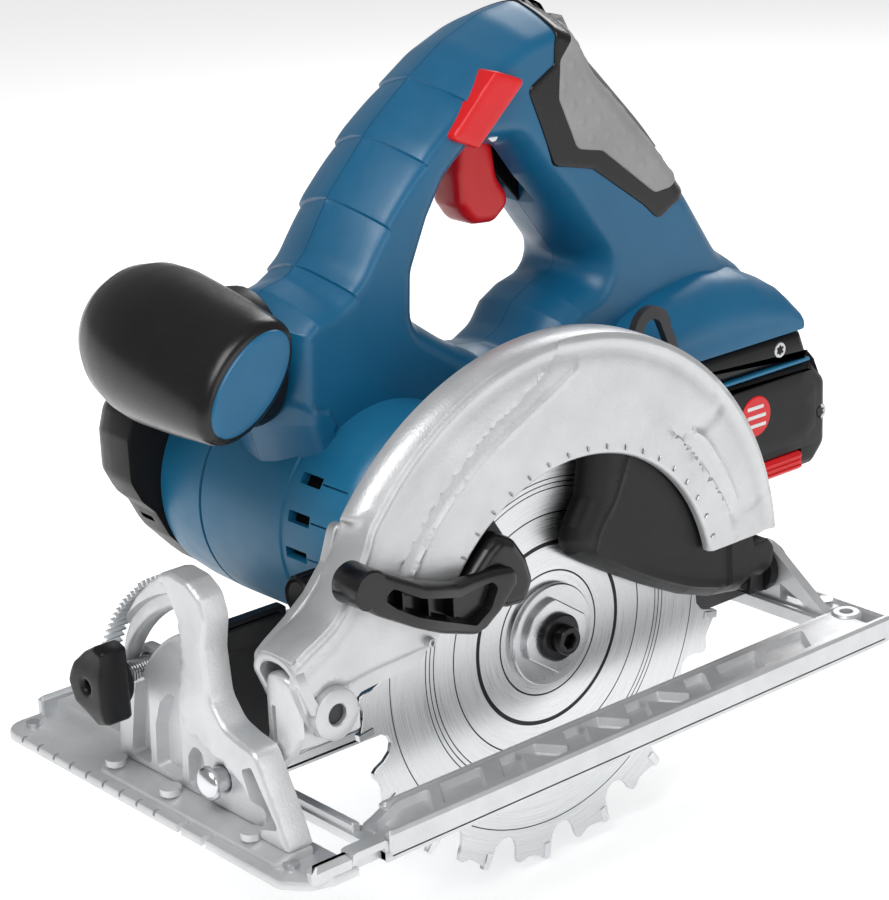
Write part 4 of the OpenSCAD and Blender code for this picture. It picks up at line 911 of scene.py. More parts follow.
    place("guard_far_arm", v, f, "guard", "saw_body", "guard_grey", (), 40)
    # Lip round the hood's mouth
    path = smooth_line([(2.2, 43.5), (2.6, 54), (1.2, 59.5), (-3.2, 62.6), (-9.5, 63.4), (-15.5, 61.8),
        (-19.3, 57.8), (-20.2, 51), (-20.6, 45.5)], 5)
    inner = shifted(path, -3.0)
    if np.linalg.norm(inner[len(inner) // 2] - np.array([-9,
        50])) > np.linalg.norm(path[len(path) // 2] - np.array([-9, 50])):
        inner = shifted(path, 3.0)
    lip = []
    for p, q in zip(path, inner):
        x = -118.4 + 0.42 * max(0.0, 56 - p[1])
        w = p - q
        lip.append(np.array([(x + 3.6, *p), (x + 0.6, *p), (x, *(p - w * 0.25)), (x, *(q + w * 0.25)),
            (x + 0.6, *q), (x + 3.6, *q)]))
    place("guard_lip", *loft_mesh(lip), "guard", "saw_body", "guard_grey", (), 45)
    ticks = []
    for a in np.arange(17.5, 152, 7.55):
        t = math.radians(a)
        c = np.array([-0.5 + 65.6 * math.cos(t), 33 + 65.6 * math.sin(t)])
        ticks.append(turned(box_mesh((c[0] - 1.0, -17.6, c[1] - 0.35), (c[0] + 1.0, -16.9, c[1] + 0.35),
            0.3), "Y", -a - 14, (c[0], 0, c[1])))
    v, f = merge(ticks)
    place("guard_scale", v, f, "guard", "saw_body", "guard_grey", (), 40)
    boss = lathe_mesh([(-18, 3.4), (-20.9, 3.4), (-21.3, 3.8), (-21.3, 7.6), (-20.9, 8.2), (-18, 8.4)],
        (-105, 43.3), n=48)
    pip = lathe_mesh([(-18, 0.6), (-19.2, 0.7), (-19.4, 1.0), (-19.2, 1.5), (-17, 1.7)], (-65.2, 53.6),
        n=20)
    v, f = merge([boss, pip])
    place("pivot_boss", v, f, "guard", "saw_body", "guard_grey")


# ---------------------------------------------------------------- lower guard
def lower_guard():
    C = (0, SPINDLE_Z)
    left = [(12, 96), (9, 79), (3.5, 70), (1.5, 64.5), (4.5, 59), (12, 54), (22, 48), (38, 39), (56, 30),
        (70, 25), (83, 23), (91, 25.5), (97, 31), (98.5, 37)]
    out = np.vstack([circle(*C, 88.3, 50, 6, 80), fillet([(15.6, 118.5, 0)] + [p + (5,
        ) for p in left] + [(95, 41.5, 3), (88, 40.7, 0)], 5)])

    soft = np.array(left[:-2], float)

    def near(u, v, d):
        P = np.c_[u, v]
        dl = seg_dist(P, soft, closed=False)
        y = -12.4 + 0.95 * round_edge(dl, 8.5) + round_edge(d, 0.8)
        y -= 0.45 * near_line(u, v, ridge, 0.9)
        y -= 1.3 * near_line(u, v, np.array([(75.5, 30), (75, 45)]), 1.3)
        return np.minimum(y, -5.2)

    ridge = smooth_line([(27, 89), (21, 76), (14, 67), (12, 62), (13, 59), (22, 53), (36, 44.5), (55, 35),
        (70, 30)])
    lines = [shifted(ridge, k) for k in (-0.8, 0, 0.8)] + [np.array([(75.5 + k, 30), (75 + k,
        45)]) for k in (-1.2, 0, 1.2)]
    v, f = relief_mesh(out, [], near, flat(-4.8), 2.2, (0.4, 1.2, 2.6, 4.4, 6.4, 8.5), lines, edge_step=1.8)
    place("lower_guard_near", v, f, "black", "lower_guard", "black_plastic", ["lower_guard"], 35)
    band = np.vstack([circle(*C, 88.3, 50, 78, 152), circle(*C, 66.5, 40, 78, 152)[::-1]])
    tab = np.vstack([circle(*C, 67, 20, 122, 150), circle(*C, 52.5, 20, 122, 150)[::-1]])
    rim = np.vstack([circle(*C, 88.4, 90, -6, 152), circle(*C, 86.6, 90, -6, 152)[::-1]])
    far = np.vstack([circle(*C, 88.3, 90, -6, 152), circle(*C, 30.5, 60, 160, 346)])
    hub = circle(*C, 24.15, 64)
    parts = [
        relief_mesh(band, [], drilled(-12.4, 1, 0.3), flat(-10.8), 5.0, (0.5,), edge_step=3.0),
        relief_mesh(tab, [], drilled(-12.4, 1, 0.3), flat(-10.8), 4.0, (0.5,), edge_step=2.0),
        relief_mesh(rim, [], flat(-11.6), flat(4.4), 4.0, (), edge_step=2.0),
        relief_mesh(far, [hub], flat(2.7), drilled(4.35, -1, 0.4), 6.0, (0.5,), edge_step=3.0),
    ]
    nose = fillet([(84.8, 22.0, 1.5), (91, 25.5, 6), (97, 31, 5), (98.5, 37, 3), (95, 41.5, 3),
        (86.2, 41.0, 1), (85.2, 31, 1)], 3)
    parts.append(along_y(resample(nose, 1.5), [(-10.4, -1.2), (-9.4, -0.2), (-8, 0), (2.6, 0), (3.8, -0.3),
        (4.3, -1.0)]))
    v, f = merge(parts)
    place("lower_guard_shell", v, f, "black", "lower_guard", "black_plastic", (), 35)


def lever():
    body = fillet([(-99, 88.5, 2), (-102.5, 84.5, 3), (-100.5, 79, 4), (-94, 74, 5), (-80, 66, 8),
        (-68, 60, 8), (-52, 53.5, 6), (-46.5, 54, 5), (-40, 58, 8),
                   (-32, 66, 5), (-34, 71, 4), (-41, 72, 6), (-60, 73.5, 12), (-76, 79, 10), (-88, 85.5, 6),
                   (-94, 89, 4)], 4)
    pocket = [(-93, 79.5), (-88, 75), (-80, 70), (-66, 63.5), (-52, 57), (-45, 60), (-41.5, 66.5),
        (-44, 69), (-60, 69.5), (-78, 75.5), (-89, 82)]

    def near(u, v, d):
        P = np.c_[u, v]
        taper = 6.8 * smoothstep(-80, -42, u)
        y = -30.8 + taper + round_edge(d, 2.0)
        k = np.where(inside(P, pocket), smoothstep(0, 1.2, seg_dist(P, pocket)), 0)
        return np.minimum(y + (8.0 - 5.0 * smoothstep(-80, -42, u)) * k, -20.6)

    rim = fillet([p + (2,) for p in pocket], 2.0, 3)
    lines = [np.vstack([rim, rim[:1]]), np.vstack([grow(rim, -1.2), grow(rim, -1.2)[:1]])]
    pocket = rim
    v1 = relief_mesh(body, [], near, drilled(-19.6, -1, 1.5), 2.0, (0.5, 1.0, 2.0), lines, edge_step=1.5)
    arm = fillet([(-52, 68, 2), (-47, 72, 4), (-41, 77.5, 5), (-35.5, 81, 5), (-29, 77.5, 5), (-24, 70, 6),
        (-21.5, 62, 5), (-25, 54.5, 4), (-33, 55, 4), (-40, 58, 3)], 3)
    v2 = relief_mesh(arm, [], lambda u, v, d: -19.8 + round_edge(d, 4.0), flat(-12.6), 1.8,
        (0.5, 1.2, 2.2, 3.2, 4.0), edge_step=1.5)
    v3 = lathe_mesh([(-19.2, 6.0), (-20, 6.6), (-30.4, 6.3), (-31, 5.6), (-31, 2)], (-97.2, 83.6), n=44)
    ribs = [box_mesh((x - 0.4, -26.5, z - 3.4), (x + 0.4, -21, z + 3.4), 0.2) for x,
        z in ((-82, 74.5), (-72, 70), (-62, 66.5))]
    v, f = merge([v1, v2, v3] + ribs)
    place("lever_body", v, f, "gloss_black", "lower_guard", "black_plastic", ["guard_lever"], 40)


# ---------------------------------------------------------------- blade set
def blade():
    R, n = 82.5, 18
    outline = []
    for i in range(n):
        a0 = -91.5 + 20 * i
        prof = [(R - 0.7, 0.3), (R - 8.2, 1.0), (R - 11.0, 2.9), (R - 11.6, 5.2), (R - 10.2, 7.4),
            (R - 7.0, 8.7), (R - 3.6, 9.1), (R - 1.9, 9.7),
                (R - 1.5, 10.8), (R - 2.2, 12.0), (R - 3.0, 13.2), (R - 2.8, 15.0), (R - 1.8, 17.2),
                (R - 0.9, 19.0)]
        # The gullet opens ahead of the tip, so the angle grows away from the rake face
        for r, a in prof:
            t = math.radians(a0 + a * 0.98)
            outline.append((r * math.cos(t), SPINDLE_Z + r * math.sin(t)))
    holes = [circle(0, SPINDLE_Z, 15.2, 48)]
    v, f = relief_mesh(np.array(outline), holes, drilled(-0.8, 1, 0.15), drilled(0.8, -1, 0.15), 5.0,
        (0.25,), edge_step=1.2)
    place("blade_disc", v, f, "blade", "blade", "steel", ["blade"], 30)
    tips = []
    for i in range(n):
        a = -91.5 + 20 * i
        t = box_mesh((R - 6.2, -1.2, SPINDLE_Z - 2.6), (R - 0.05, 1.2, SPINDLE_Z + 0.1), 0.25)
        tips.append(turned(t, "Y", -a, (0, 0, SPINDLE_Z)))
    v, f = merge(tips)
    place("blade_tips", v, f, "zinc", "blade", "dark_steel")
    fl = [lathe_mesh([(-0.8, 15.0), (-0.8, 17.3), (-1.2, 17.5), (-2.7, 17.5), (-3.1, 17.1), (-3.2, 13.0),
        (-3.2, 8.0), (-0.8, 8.0)], (0, SPINDLE_Z), n=72)]
    step = circle(0, SPINDLE_Z, 13.4, 72)
    step[:, 0] = np.clip(step[:, 0] - 0, -20, 20)
    c, s = math.cos(math.radians(-35)), math.sin(math.radians(-35))
    loc = (step - [0, SPINDLE_Z]) @ np.array([[c, -s], [s, c]])
    loc[:, 1] = np.clip(loc[:, 1], -10.8, 10.8)
    step = loc @ np.array([[c, s], [-s, c]]) + [0, SPINDLE_Z]
    fl.append(along_y(step, [(-3.1, 0), (-5.0, 0), (-5.3, -0.35)]))
    fl.append(lathe_mesh([(0.8, 8), (0.8, 17.3), (1.2, 17.5), (3.6, 17.5), (3.9, 17), (3.9, 8)],
        (0, SPINDLE_Z), n=72))
    v, f = merge(fl)
    place("flange_set", v, f, "steel", "blade", "steel", ["outer_flange", "inner_flange"], 30)
    hexagon = np.c_[2.6 * np.cos(np.radians(np.arange(0, 360, 60))),
        SPINDLE_Z + 2.6 * np.sin(np.radians(np.arange(0, 360, 60)))]
    head = circle(0, SPINDLE_Z, 4.9, 40)
    v1 = relief_mesh(head, [hexagon], drilled(-11.5, 1, 0.7), flat(-7.0), 3.0, (0.35, 0.8), edge_step=0.8)
    v2 = lathe_mesh([(-5.2, 8.2), (-7.0, 8.2), (-7.5, 7.6), (-7.6, 5.2), (-7.6, 3.0), (-5.2, 3.0)],
        (0, SPINDLE_Z), n=56)
    v3 = lathe_mesh([(-8.4, 3.2), (-8.2, 3.2), (12, 3.9), (12, 1)], (0, SPINDLE_Z), n=24)
    v, f = merge([v1, v2, v3])
    place("bolt_head", v, f, "oxide", "blade", "black_oxide", ["clamping_bolt"], 30)


# ---------------------------------------------------------------- sole
def sole():
    X0, X1, Y0, Y1 = -137.0, 134.0, -39.5, 124.0
    outline = fillet([(X0, Y0 + 10, 4), (X0 + 6, Y0 + 2.5, 6), (X0 + 13, Y0, 5), (X1, Y0, 8), (X1, Y1, 8),
        (X0, Y1, 8)], 6)
    hole = fillet([(-100, -19), (118, -19), (118, 31), (-100, 31)], 6)
    v, f = relief_mesh(outline, [hole], lambda u, v, d: 3.0 - round_edge(d, 1.2), flat(0.0), 8.0,
        (0.4, 1.2), axis="z", edge_step=3.0)
    plate = place("sole_plate", v, f, "cast", "base", "cast_alu", ["base_plate"], 35)
    cuts = [box_mesh((-114.5, Y0 - 2, -1), (-103.5, Y1 + 2, 3.9), 0.05),
        box_mesh((-142, 7.2, -1), (-131.5, 9.6, 9), 0.05),
            box_mesh((-142, 20, -1), (-132.5, 22.2, 9), 0.05)]
    for y in np.arange(34, 118, 9.5):
        cuts.append(box_mesh((-142, y, 1.2), (-134.6, y + 1.1, 9), 0.05))
    boolean(plate, merge(cuts), "sole_cuts")
    P = []
    # Near flange, open where the fence channel passes
    def bar(x0, x1, y0, y1, z1, b=0.8):
        P.append(box_mesh((x0, y0, 0.3), (x1, y1, z1), b))
    bar(-102, X1 - 2.5, Y0, Y0 + 3.2, 9.2, 1.0)
    bar(-131, -115.5, Y0 + 0.6, Y0 + 5.0, 7.6, 1.8)
    bar(-118, X1 - 2.5, Y0 + 3.1, Y0 + 4.2, 4.0, 0.3)
    bar(-90, 118, -22.4, -19.0, 8.4, 0.9)
    bar(X1 - 3.4, X1, Y0 + 3, Y1 - 3, 7.4, 1.0)
    bar(-122, X1 - 4, Y1 - 3.2, Y1, 9.0, 1.0)
    bar(-102, 118, 31.0, 33.4, 5.2, 0.7)
    bar(-102.6, -99.6, -22, 33, 6.2, 0.6)
    bar(117.6, 120, -22, 33, 5.2, 0.6)
    for x in (-60, -10, 40, 90):
        bar(x, x + 2.2, 33, Y1 - 2, 4.8, 0.5)
    # Raised near strip with slanted pockets, narrower through its middle stretch
    pockets = []
    for x, w, k in [(-88, 11, 1), (-64, 9, 1), (-43, 5, 1), (-29, 5, -1), (-15, 5, 1), (-1, 5, -1),
        (13, 5, 1), (27, 5, -1), (41, 5, 1), (62, 10, 1), (86, 10, 1)]:
        sl = 4.2 * k
        pockets.append(fillet([(x - w - sl, -35.2, 1), (x + w - sl, -35.2, 1), (x + w + sl, -23.4, 1),
            (x - w + sl, -23.4, 1)], 1.0, 3))

    def strip_top(u, v, d):
        P = np.c_[u, v]
        z = 8.3 - round_edge(d, 1.0) - 4.6 * smoothstep(-84, -98, u)
        for q in pockets:
            z = np.where(inside(P, q), z - 2.6 * smoothstep(0, 0.9, seg_dist(P, q)), z)
        return z

    strip = fillet([(-98, -37.8, 2), (121, -37.8, 2), (121, -19.2, 2), (-98, -19.2, 2)], 2)
    lines = [np.vstack([q, q[:1]]) for c in pockets for q in (c, grow(c, -0.9))]
    P.append(relief_mesh(strip, [], strip_top, flat(0.4), 5.0, (0.5, 1.0), lines, axis="z", edge_step=2.5))
    # Raised roof of the fence channel
    roof = [(-117.0, 0.3), (-115.6, 6.6), (-114.4, 7.0), (-103.6, 7.0), (-102.4, 6.6), (-101.0, 0.3),
        (-103.5, 0.3), (-103.5, 4.5), (-114.5, 4.5), (-114.5, 0.3)]
    for y0, y1 in ((Y0 + 1, -32.6), (33.0, Y1 - 1)):
        P.append(loft_mesh([np.array([(x, y, z) for x, z in roof]) for y in (y0, y1)]))
    P.append(lathe_mesh([(0.3, 5.6), (8.4, 5.4), (9.2, 4.6), (9.2, 2.5), (0.3, 2.5)], (122, -25), axis="z",
        n=40))
    v, f = merge(P)
    place("sole_ribs", v, f, "cast", "base", "cast_alu", (), 30)


def quadrant():
    C = (14, 17)
    out = fillet([(71.5, 6, 1), (70.5, 17, 3), (68, 28, 8), (66, 40, 10), (62.5, 50, 12), (57, 60, 12),
        (50, 68.5, 12), (42, 75.5, 12), (33, 81, 6), (28.5, 82.3, 5),
                  (20, 81.5, 5), (14, 78, 5), (11.5, 71, 6), (13.5, 60, 10), (12, 45, 8), (6, 38, 8),
                  (-1, 36, 6), (-9.5, 34.5, 5), (-20.5, 14, 4), (-24, 6, 1)], 4)
    slot = np.vstack([circle(*C, 54.2, 24, 25, 70), circle(*C, 46.4, 22, 25, 70)[::-1]])
    slot = fillet([tuple(p) for p in resample(slot, 5.0)], 1.0, 2)
    leg = [(33, 76), (29.5, 70), (27, 64), (26.5, 58), (28.5, 48), (30, 38), (27, 30.5), (19, 27.5),
        (2, 22), (-7.5, 14), (-8.5, 6)]
    p1 = fillet([(63.5, 9, 2), (61, 22, 6), (58.8, 33, 6), (55.5, 39.5, 6), (50.8, 38, 3), (51.6, 24, 6),
        (52.5, 8.6, 2)], 3)
    p2 = fillet([(49.5, 9, 2), (48.5, 24, 6), (45, 33, 6), (39, 38.2, 5), (34.5, 36.5, 3), (34.0, 24, 6),
        (35.5, 8.6, 2)], 3)
    p3 = fillet([(32, 9, 2), (31.5, 19, 4), (28, 23.5, 4), (23.5, 22.5, 3), (22.5, 14, 4), (23, 8.6, 2)], 3)
    p4 = fillet([(55.5, 44.2, 3), (50.5, 50.5, 4), (44, 55.5, 4), (37, 58.6, 3), (33.5, 57, 3),
        (35, 50.5, 4), (42.5, 46.8, 6), (49, 40.6, 3)], 3)
    tri = fillet([(-2.5, 27, 1.2), (-7.5, 29.5, 1.2), (-19.5, 12.5, 1.2), (-9.5, 9.5, 1.2)], 3)
    lines = [np.vstack([p, p[:1]]) for q in (p1, p2, p3, tri) for p in (q, grow(q, -0.7))]
    legl = smooth_line(leg, 4)
    lines += [legl, shifted(legl, 1.6), shifted(legl, -0.6)]
    leg_sign = 1.0 if side_of(np.array([20.0]), np.array([60.0]), legl)[0] > 0 else -1.0
    rimi = circle(*C, 60.0, 50, 0, 72)
    lines += [rimi, circle(*C, 59.2, 50, 0, 72)]

    def front(u, v, d):
        P = np.c_[u, v]
        x = np.full(len(u), -124.4)
        s = side_of(u, v, legl)
        raise_ = smoothstep(-0.1, 1.6, s * leg_sign)
        x -= 4.2 * raise_
        r = np.hypot(u - C[0], v - C[1])
        x -= 2.6 * smoothstep(59.2, 60.0, r) * (1 - raise_)
        for q in (p1, p2, p3):
            x = np.where(inside(P, q), x + 4.4 * smoothstep(0, 0.7, seg_dist(P, q)), x)
        x = np.where(inside(P, tri), x + 6.5 * smoothstep(0, 0.7, seg_dist(P, tri)), x)
        return np.minimum(x + round_edge(d, 1.6), -119.6)

    v1 = relief_mesh(out, [slot, circle(*C, 4.1, 24)], front, flat(-119.2), 2.2, (0.5, 1.0, 1.6), lines,
        axis="x", edge_step=1.6)
    P = [v1]
    foot = fillet([(-133, -24, 3), (-119, -24, 1), (-119, 72, 1), (-133, 72, 3)], 3)
    P.append(relief_mesh(foot, [], lambda u, v, d: 6.2 - round_edge(d, 1.2) - 1.6 * smoothstep(-127, -132,
        u), flat(2.6), 3.0, (0.4, 1.2), axis="z", edge_step=2.0))
    # Teeth of the bevel scale along the outer rim
    for a in np.arange(26, 73, 2.6):
        t = math.radians(a)
        rr = 64.0 + (1.2 if a > 55 else 0.6)
        y, z = 14 + rr * math.cos(t), 17 + rr * math.sin(t)
        P.append(turned(box_mesh((-126.6, y - 1.6, z - 0.38), (-119.6, y + 0.5, z + 0.38), 0.25), "X", a,
            (0, y, z)))
    v, f = merge(P)
    place("quadrant_casting", v, f, "cast", "base", "cast_alu", ["bevel_quadrant"], 35)
    pin = lathe_mesh([(-124, 4.0), (-128.4, 4.0), (-128.4, 5.4), (-129.6, 5.5), (-130.6, 5.1),
        (-131.4, 4.0), (-131.9, 2.4), (-132.0, 0.8)], C, axis="x", n=40)
    place("pivot_rivet", *pin, "zinc", "base", "steel", ["front_bevel_pin"], 35)


def wing():
    cy, cz = 14 + 50 * math.cos(math.radians(26)), 17 + 50 * math.sin(math.radians(26))
    out = fillet([(cy - 10.8, cz + 14.5, 1.6), (cy - 11.2, cz - 9.5, 1.6), (cy - 5, cz - 11.5, 2),
        (cy + 1, cz - 8.0, 3), (cy + 5.5, cz - 6, 3), (cy + 8.6, cz + 1, 3), (cy + 5.5, cz + 8, 3),
                  (cy + 1, cz + 12, 3), (cy - 6, cz + 16, 2.5)], 3)
    hole = circle(cy - 2, cz + 1.5, 2.0, 20)
    v1 = relief_mesh(out, [hole], lambda u, v, d: -143.6 + round_edge(d, 1.6) + 1.2 * smoothstep(4, 12,
        np.abs(v - cz)), lambda u, v, d: -132.6 - round_edge(d, 1.6), 2.2,
                     (0.5, 1.2, 2.2), axis="x", edge_step=1.4)
    v2 = lathe_mesh([(-137, 7.0), (-135.4, 8.4), (-130.4, 8.8), (-129.6, 8.2), (-129.4, 3.0), (-137, 3.0)],
        (cy, cz), axis="x", n=40)
    stud = [(-130, 3.9)] + [(-129 + 0.5 * k, 3.9 if k % 2 else 3.3) for k in range(0, 40)] + [(-109, 3.6),
        (-108.4, 0.2)]
    v, f = merge([v1, v2])
    place("wing_knob", v, f, "black", "wing_screw", "black_plastic", ["wing_screw"], 40)
    place("wing_stud", *lathe_mesh(stud, (cy, cz), axis="x", n=24), "steel", "wing_screw", "steel", (), 30)


# ---------------------------------------------------------------- controls
def slab(name, outline, y0, y1, r, mat, body, slot, nodes, crown=0.0):
    c = np.mean(outline, axis=0)
    half = np.max(np.linalg.norm(outline - c, axis=1))
    near = lambda u, v, d: y0 + round_edge(d, r) + crown * (np.hypot(u - c[0], v - c[1]) / half) ** 2
    v, f = relief_mesh(outline, [], near, lambda u, v, d: y1 - round_edge(d, r), 2.2, (0.3, 0.45 * r, r),
        edge_step=1.4)
    return place(name, v, f, mat, body, slot, nodes, 40)


def controls():
    bar = fillet([(-7.5, 194.5, 1.6), (4, 189.5, 1.6), (25.5, 208.5, 1.6), (12.5, 213.5, 1.6)], 3)
    slab("lock_off_pad", bar, 29.4, 42.0, 1.0, "red", "lock_off", "red_plastic", ["lock_off_bar"], 0.0)
    trig = fillet([(13, 192, 3), (11, 177, 14), (11.5, 166, 5), (17, 158.5, 6), (27, 157.5, 6),
        (35.5, 164, 5), (29, 173, 10), (27.5, 184, 6), (22, 193.5, 4)], 4)
    v, f = relief_mesh(trig, [], lambda u, v, d: 48.0 + round_edge(d, 3.6), lambda u, v,
        d: 64.0 - round_edge(d, 3.6), 2.0, (0.5, 1.4, 2.4, 3.6), edge_step=1.4)
    place("trigger_shell", v, f, "red", "trigger", "red_plastic", ["trigger"], 50)
    rib = lathe_mesh([(-86.4, 5.0), (-87, 6.0), (-86.4, 6.6), (-77.5, 6.6), (-77.5, 2)], (20, 64), axis="x",
        n=36)
    parts = [rib]
    for a in range(0, 360, 24):
        t = math.radians(a)
        y, z = 20 + 6.5 * math.cos(t), 64 + 6.5 * math.sin(t)
        parts.append(turned(box_mesh((-85.6, y - 0.5, z - 0.5), (-77.6, y + 0.7, z + 0.5), 0.2), "X", a,
            (0, y, z)))
    v, f = merge(parts)
    place("spindle_lock_button", v, f, "black", "spindle_lock", "black_plastic", ["spindle_lock"], 30)


# ---------------------------------------------------------------- battery
def battery():
    low = fillet([(57, 49, 3), (60, 46, 3), (154, 46, 5), (161, 53, 6), (161, 78, 6), (152.2, 87.4, 1),
        (57, 87.4, 0.5)], 3)
    top = fillet([(57, 88.4, 0.5), (151.4, 88.4, 1), (147, 99.8, 3), (57, 100.0, 1)], 3)
    v, f = along_y(resample(low, 4), [(18.0, -4.0), (18.4, -2.6), (19.6, -1.0), (21.6, -0.1), (24, 0), (88,
        0), (90.4, -0.1), (92.4, -1.0), (93.6, -2.6), (94, -4.0)])
    obj = place("battery_lower_shell", v, f, "black", "battery", "black_plastic", ["battery_bottom_case"],
        35)
    cut = [box_mesh((119.8, 10, 46.4), (146.2, 21.2, 54.4), 0.4)]
    boolean(obj, merge(cut), "button_well")
    v, f = along_y(resample(top, 4), [(18.4, -3.0), (18.9, -1.6), (20.2, -0.5), (22, 0), (90, 0), (91.8,
        -0.5), (93.1, -1.6), (93.6, -3.0)])
    obj = place("battery_top_shell", v, f, "black", "battery", "black_plastic", ["battery_top_case"], 35)
    # Painted shade: a dark inner block that fills the gaps between the battery shells and the button well
    v, f = along_y(resample(grow(low, -1.2), 6), [(20, 0), (92, 0)])
    v[:, 2] = np.where(v[:, 2] > 80, v[:, 2] + 4, v[:, 2])
    place("battery_gap_shade", v, f, "void", "battery", "black_plastic", (), 35)
    trim = [box_mesh((58, 17.75, 87.3), (150.5, 93.9, 88.6), 0.25)]
    v, f = merge(trim)
    place("battery_trim", v, f, "blue_light", "battery", "blue_plastic")
    # Raised panel on the operator's side
    panel = fillet([(98, 52, 3), (117, 52, 2), (117, 57, 2), (149, 57, 3), (154, 62, 3), (154, 76, 4),
        (147, 84, 3), (98, 84, 3)], 3)
    for side, y0, y1 in (("near", 17.4, 20), ("far", 94.6, 92)):
        sgn = 1 if side == "near" else -1
        v, f = relief_mesh(panel, [], lambda u, v, d: y0 + sgn * round_edge(d, 0.7), flat(y1), 6.0,
            (0.3, 0.7), edge_step=2.0)
        place("battery_panel_" + side, v, f, "black", "battery", "black_plastic", (), 35)
    disc = circle(121, 73, 7.6, 48)
    v, f = relief_mesh(disc, [], drilled(16.9, 1, 0.3), flat(18), 3.0, (0.4,), edge_step=1.2)
    place("charge_badge", v, f, "red", "battery", "red_plastic", (), 35)
    stripes = []
    for k, z in enumerate((69.6, 73.0, 76.4)):
        stripes.append(box_mesh((116.2 + (k == 0) * 1.2, 16.7, z - 0.7),
            (125.8 - (k == 2) * 1.2, 17.2, z + 0.7), 0.2))
    v, f = merge(stripes)
    place("badge_stripes", v, f, "white", "battery", "red_plastic")
    ribs = [box_mesh((120.6, 16.8, 47.0), (145.4, 19.9, 53.9), 0.7)]
    for z in (48.4, 50.4, 52.4):
        ribs.append(box_mesh((121.2, 16.2, z - 0.55), (144.8, 17.2, z + 0.55), 0.3))
    v, f = merge(ribs)
    place("release_button", v, f, "red", "battery_button", "red_plastic", ["battery_button"], 35)
    screws = []
    for x, z, y in ((135, 94.5, 18.2), (75, 94.5, 18.2), (157.0, 66, 18.0)):
        star = np.array([(x + (1.9 if k % 2 else 1.25) * math.cos(math.pi * k / 6),
            z + (1.9 if k % 2 else 1.25) * math.sin(math.pi * k / 6)) for k in range(12)])
        screws.append(relief_mesh(circle(x, z, 3.0, 32), [star], drilled(y, 1, 0.3), flat(y + 2), 2.0,
            (0.3,), edge_step=0.9))
    v, f = merge(screws)
    place("case_screws", v, f, "steel", "battery", "steel", ["battery_screws"], 35)


# ---------------------------------------------------------------- finish on the CAD nodes that stay
KEEP = {
    "cast": ["rear_pivot_lug", "bearing_plate", "quadrant_screws"],
    "zinc": ["sole_studs", "rear_lug_screws", "depth_arm_screws", "guard_screws", "motor_screws",
        "guard_retainer",
             "rear_bevel_pin", "depth_bolt", "trigger_pin"],
    "dark_steel": ["depth_arm", "depth_pivot_pin", "guard_spring"],
    "steel": ["spindle", "spindle_gear", "motor_shaft", "motor_pinion", "rotor_core", "stator",
        "rotor_bearings", "spindle_bearings"],
    "copper": ["commutator"],
    "black": ["cooling_fan", "switch_block", "wiring", "depth_lever", "terminal_block", "carbon_brushes"],
    "oxide": ["handle_screws"],
    "green": ["battery_cells"],
}


def dress():
    for mat, names in KEEP.items():
        for name in names:
            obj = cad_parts[name]
            if not obj.material_slots:
                obj.data.materials.append(MAT[mat])
            for slot in obj.material_slots:
                slot.material = MAT[mat]


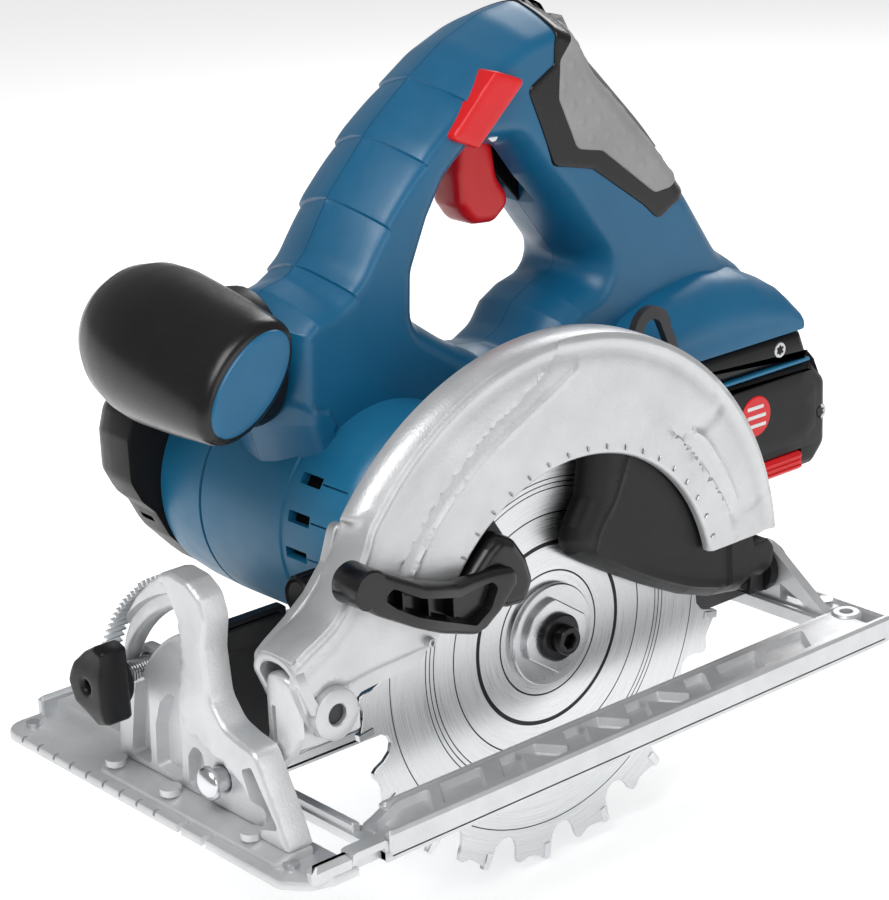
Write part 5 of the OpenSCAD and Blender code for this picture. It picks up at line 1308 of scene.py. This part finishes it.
def frame_pieces():
    """Light casting that carries the saw on the bevel axis, with its dark rear web."""
    out = fillet([(-1, 31, 2), (-1, 50, 3), (-3.5, 55.5, 4), (-9, 57.5, 6), (-14.5, 55.5, 4),
        (-16.6, 50, 3), (-16.6, 37, 3), (-13.5, 31, 5), (-6, 24, 8), (2, 16, 6),
                  (6, 8.6, 3), (20, 8.6, 4), (24, 14, 5), (30, 22, 6), (60, 30, 6), (67, 36, 6),
                  (64, 46, 5), (54, 46, 6), (26, 33, 8), (14, 30, 6), (6, 30, 4)], 4)

    def front(u, v, d):
        x = -118.4 + round_edge(d, 1.6)
        top = smoothstep(30, 36, v) * (u < 2)
        x += top * 0.16 * (u + 8.5) ** 2 * 0.22
        x += 2.2 * np.where(np.abs(u + 7) < 0.9, 1, 0) * (v > 33) * (v < 46)
        return x

    pins = [circle(14, 17, 4.2, 24), circle(58.94, 38.92, 4.2, 24)]
    g = [np.array([(-7 + k, 32.5), (-7 + k, 46.5)]) for k in (-1.1, -0.8, 0.8, 1.1)]
    P = [relief_mesh(out, pins, front, flat(-114.6), 2.4, (0.5, 1.6), g, axis="x", edge_step=1.6)]
    P.append(box_mesh((-116, -13.2, 30.8), (-90, -6.2, 39.6), 1.0))
    P.append(box_mesh((-115.5, -13.4, 30), (-107.4, -1.4, 52), 2.0))
    P.append(lathe_mesh([(-13.5, 4.3), (-13.5, 9.0), (-1.2, 9.0), (-1.2, 4.3)], (-104, 43), n=40))
    v, f = merge(P)
    place("frame_casting", v, f, "cast", "bevel_frame", "cast_alu", ["bevel_frame"], 40)
    web = [box_mesh((-118, 31, 12), (-83, 36, 57.5), 0.8), box_mesh((-114, 29.6, 48), (-86, 31.2, 56), 0.6),
        box_mesh((-83.6, 31, 9), (119.4, 36, 22), 0.8),
           box_mesh((115.8, 8, 9), (119.4, 36, 25), 1.2), box_mesh((-118, 22, 20), (-114.6, 33, 44), 0.8),
           lathe_mesh([(115.6, 4.2), (115.6, 9), (119.4, 9), (119.4, 4.2)], (14, 17), axis="x", n=36)]
    v, f = merge(web)
    place("frame_web", v, f, "black", "bevel_frame", "dark_steel", (), 35)


# ---------------------------------------------------------------- studio
def light(name, where, aim, size, power, colour=(1, 1, 1)):
    data = bpy.data.lights.new(name, "AREA")
    data.shape = "RECTANGLE"
    data.size, data.size_y = size
    data.energy = power
    data.color = colour
    obj = bpy.data.objects.new(name, data)
    bpy.context.scene.collection.objects.link(obj)
    obj.location = where
    obj.rotation_euler = (Vector(aim) - Vector(where)).to_track_quat("-Z", "Y").to_euler()


def studio():
    n = Nodes("floor_paper")
    n.bsdf.inputs["Base Color"].default_value = (0.93, 0.93, 0.93, 1)
    n.bsdf.inputs["Emission Color"].default_value = (1, 1, 1, 1)
    n.bsdf.inputs["Emission Strength"].default_value = 0.5
    n.link(n.ramp(n.noise(8.0), [(0.3, (0.9,)), (0.7, (0.95,))]), n.bsdf.inputs["Roughness"])
    mesh = bpy.data.meshes.new("floor")
    s, z = 6.0, -0.0522
    mesh.from_pydata([(-s, -s, z), (s, -s, z), (s, s, z), (-s, s, z)], [], [(0, 1, 2, 3)])
    mesh.materials.append(n.mat)
    floor = bpy.data.objects.new("floor", mesh)
    bpy.context.scene.collection.objects.link(floor)
    world = bpy.data.worlds.new("studio")
    bpy.context.scene.world = world
    world.use_nodes = True
    bg = world.node_tree.nodes["Background"]
    bg.inputs["Color"].default_value = (1, 1, 1, 1)
    bg.inputs["Strength"].default_value = 0.30
    light("key", (-0.75, -0.35, 1.15), (0, 0, 0.08), (0.7, 0.7), 10)
    light("front", (-0.1, -1.3, 0.5), (0, 0, 0.08), (0.9, 0.6), 3.4)
    light("rim", (0.9, 0.6, 0.9), (0, 0.05, 0.1), (0.6, 0.9), 7)
    scene = bpy.context.scene
    scene.view_settings.view_transform = "Standard"
    scene.view_settings.look = "None"
    scene.view_settings.exposure = 0
    scene.view_settings.gamma = 1


camera()
handle()
foot()
grips()
motor()
knob()
guard()
lower_guard()
lever()
blade()
sole()
quadrant()
frame_pieces()
wing()
controls()
battery()
dress()
studio()

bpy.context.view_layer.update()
